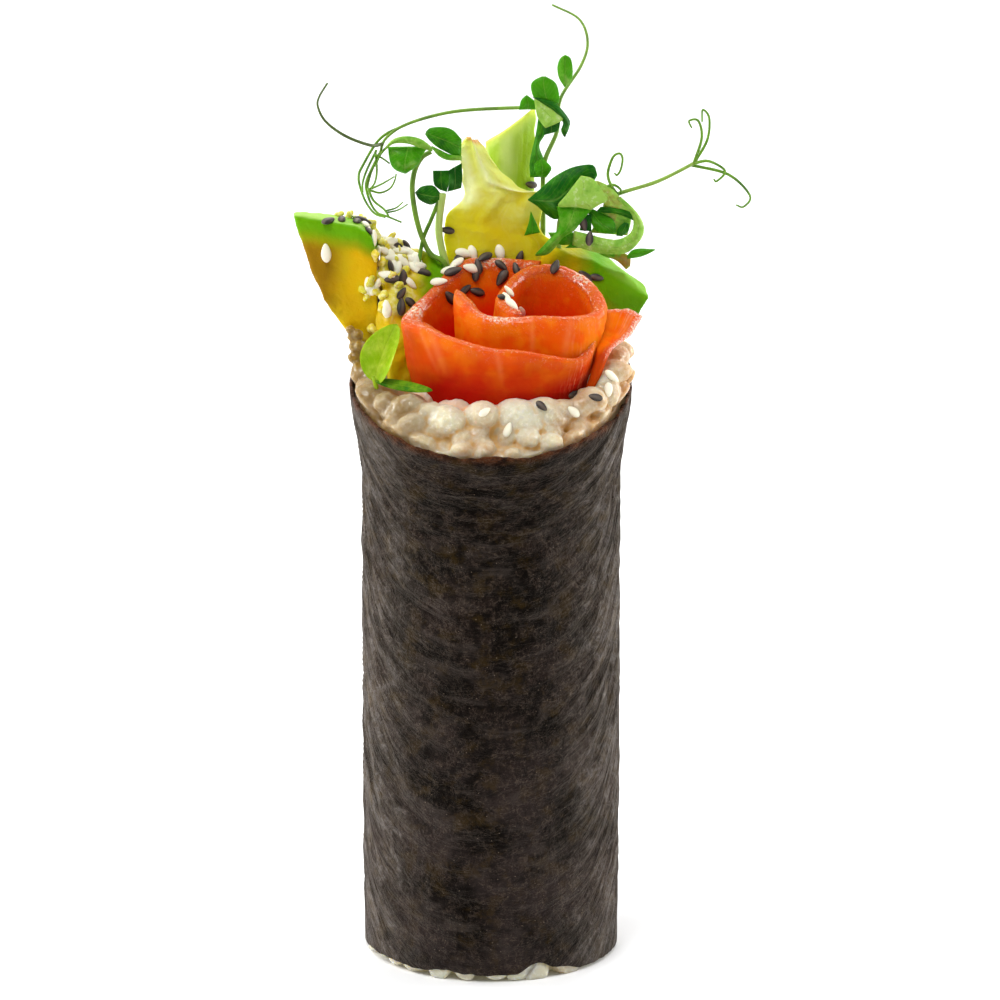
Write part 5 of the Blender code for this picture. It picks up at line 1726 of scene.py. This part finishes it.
# The pieces that seeds fall on
SEED_GROUNDS = (
    "avocado_left_wedge", "avocado_middle_piece", "avocado_right_slice", "salmon_rose_slices", "rice_heap",
    "lettuce_front_leaf", "lettuce_back_leaf", "shoot_right_leaves", "shoot_right_stems",
)


def seed_finish(name, body, pale, rough):
    """A sesame seed's fine-pitted skin, paler along its middle."""
    look = Finish(name, 0.4, (0.1, (1.0, 0.2, 0.1), 0.5))
    spot = look.place()
    pits = look.noise(spot, 0.25 * MM, 3)
    cloud = look.noise(spot, 1.2 * MM, 3)
    colour = look.mix((look.attribute("middle") * 0.6 + cloud * 0.5).step(0.3, 1.0), body, pale)
    return look.finish(colour, rough + pits * 0.2, pits, 0.00004)


def seed_template():
    """One sesame seed: a flat drop with a pointed end, lying along X."""
    length = bpy.context.scene.hand_roll_sizes.seed_length
    ball = {"segments": 16, "ring_count": 10, "radius": 0.5, "rotation": (0, math.pi / 2, 0)}
    piece = primitive("seed", bpy.ops.mesh.primitive_uv_sphere_add, **ball)
    bpy.ops.object.transform_apply(rotation=True)
    marked(piece, "middle", [between(abs(vertex.co.y), 0.35, 0.1) for vertex in piece.data.vertices])
    for vertex in piece.data.vertices:
        spot = vertex.co
        drop = 1 - 0.55 * max(0.0, spot.x + 0.1)
        vertex.co = Vector((spot.x, spot.y * 0.55 * drop, spot.z * 0.34 * drop)) * length
    return piece


def seed_places(spots, trees, draw):
    """Where seeds lie that fall along the line of sight, turned as the surface under them."""
    places = []
    for x, z, *turned in spots:
        found = struck(trees, x, z)
        if not found:
            continue
        spot, normal = found[:2]
        turn = normal.to_track_quat("Z", "Y").to_matrix() @ leaning(draw, 0.25, 6.28, sum(turned))
        size = draw.uniform(0.85, 1.18)
        places.append(laid(spot + normal * 0.25 * MM, turn, Matrix.Scale(size, 4)))
    return places


class HANDROLL_OT_sesame(bpy.types.Operator):
    """Strews the black and the white sesame seeds over the top"""

    bl_idname = "hand_roll.sesame"
    bl_label = "Sesame seeds"

    def execute(self, context):
        colours = context.scene.hand_roll_colours
        draw = random.Random(SEED_DRAW)
        trees = [tree_of(bpy.data.objects[name]) for name in SEED_GROUNDS]
        template = seed_template()
        black = seed_finish("sesame_black", colours.sesame_black, srgb(96, 84, 74), 0.4)
        white = seed_finish("sesame_white", colours.sesame_white, srgb(252, 246, 224), 0.35)
        for name, spots, finish in (("black", BLACK_SEEDS, black), ("white", WHITE_SEEDS, white)):
            piece = copies("sesame_" + name, template, seed_places(spots, trees, draw))
            done(piece, finish, "rice")
        bpy.data.objects.remove(template)
        return {"FINISHED"}


# Stage

FLOOR_RADIUS = 6
# The lamps: name, place, height on the roll's axis that they point at, size and power
LIGHTS = (
    ("key", (-0.3, -0.4, 1.0), 0.1, 0.45, 6.5),
    ("left", (-0.75, 0.25, 0.28), 0.08, 0.45, 5),
    ("right", (0.75, 0.25, 0.28), 0.08, 0.45, 5),
    ("back", (0.1, 0.8, 0.9), 0.1, 0.7, 6),
)
# How the surroundings grow light from the front to the back
SURROUNDINGS = {"From Min": -0.9, "From Max": 0.2, "To Min": 0.05, "To Max": 0.95}


def light(name, spot, aim, size, power):
    """A square soft light that points at this height on the roll's axis."""
    bpy.ops.object.light_add(type="AREA", location=spot)
    lamp = bpy.context.object
    lamp.name = name
    lamp.rotation_euler = (Vector((0, 0, aim)) - Vector(spot)).to_track_quat("-Z", "Y").to_euler()
    lamp.data.size = size
    lamp.data.energy = power


def floor_finish():
    """A white sweep."""
    look = Finish("floor", 0.1)
    cloud = look.noise(look.place(), 0.4, 1)
    colour = look.mix(cloud, (0.90, 0.90, 0.90), (0.93, 0.93, 0.93))
    return look.finish(colour, 0.8)


class HANDROLL_OT_stage(bpy.types.Operator):
    """Sets the floor, the lights, the surroundings and the camera"""

    bl_idname = "hand_roll.stage"
    bl_label = "Stage"

    def execute(self, context):
        circle = {"vertices": 96, "radius": FLOOR_RADIUS, "fill_type": "NGON"}
        floor = primitive("floor", bpy.ops.mesh.primitive_circle_add, **circle)
        floor.data.materials.append(floor_finish())
        for lamp in LIGHTS:
            light(*lamp)

        world = bpy.data.worlds.new("studio")
        context.scene.world = world
        world.use_nodes = True
        around = Shader(world.node_tree)
        direction = around.output(around.node("TexCoord", {}, {}), "Generated")
        depth = around.output(around.node("SeparateXYZ", {}, {"Vector": direction}), "Y")
        shade = around.node("MapRange", {}, {"Value": depth, **SURROUNDINGS})
        around.feed(around.tree.nodes["Background"].inputs["Color"], around.output(shade, "Result"))

        back = Vector((0, -math.cos(CAMERA_LIFT), math.sin(CAMERA_LIFT))) * CAMERA_DISTANCE
        bpy.ops.object.camera_add(location=CAMERA_TARGET + back, rotation=(math.pi / 2 - CAMERA_LIFT, 0, 0))
        camera = context.object
        camera.data.lens = CAMERA_LENS
        camera.data.sensor_width = CAMERA_SENSOR
        camera.data.clip_end = CAMERA_REACH
        context.scene.camera = camera
        context.scene.view_settings.view_transform = "Standard"
        return {"FINISHED"}


PIECE_OPERATORS = (
    HANDROLL_OT_nori,
    HANDROLL_OT_rice,
    HANDROLL_OT_salmon,
    HANDROLL_OT_avocado,
    HANDROLL_OT_lettuce,
    HANDROLL_OT_pea_shoots,
    HANDROLL_OT_sprout,
    HANDROLL_OT_sesame,
    HANDROLL_OT_stage,
)


class HANDROLL_PT_sidebar(bpy.types.Panel):
    """Lists the roll's pieces, sizes and colours"""

    bl_idname = "HANDROLL_PT_sidebar"
    bl_label = "Salmon Hand Roll"
    bl_space_type = "VIEW_3D"
    bl_region_type = "UI"
    bl_category = "Hand Roll"

    def draw(self, context):
        for operator in PIECE_OPERATORS:
            self.layout.operator(operator.bl_idname)
        for group in (context.scene.hand_roll_sizes, context.scene.hand_roll_colours):
            box = self.layout.box()
            for name in group.__annotations__:
                box.prop(group, name)


CLASSES = (HandRollSizes, HandRollColours, *PIECE_OPERATORS, HANDROLL_PT_sidebar)


def register():
    for item in CLASSES:
        bpy.utils.register_class(item)
    bpy.types.Scene.hand_roll_sizes = bpy.props.PointerProperty(type=HandRollSizes)
    bpy.types.Scene.hand_roll_colours = bpy.props.PointerProperty(type=HandRollColours)


def unregister():
    del bpy.types.Scene.hand_roll_colours
    del bpy.types.Scene.hand_roll_sizes
    for item in reversed(CLASSES):
        bpy.utils.unregister_class(item)


def main():
    register()
    bpy.ops.hand_roll.nori()
    bpy.ops.hand_roll.rice()
    bpy.ops.hand_roll.salmon()
    bpy.ops.hand_roll.avocado()
    bpy.ops.hand_roll.lettuce()
    bpy.ops.hand_roll.pea_shoots()
    bpy.ops.hand_roll.sprout()
    bpy.ops.hand_roll.sesame()
    bpy.ops.hand_roll.stage()


if __name__ == "__main__":
    main()
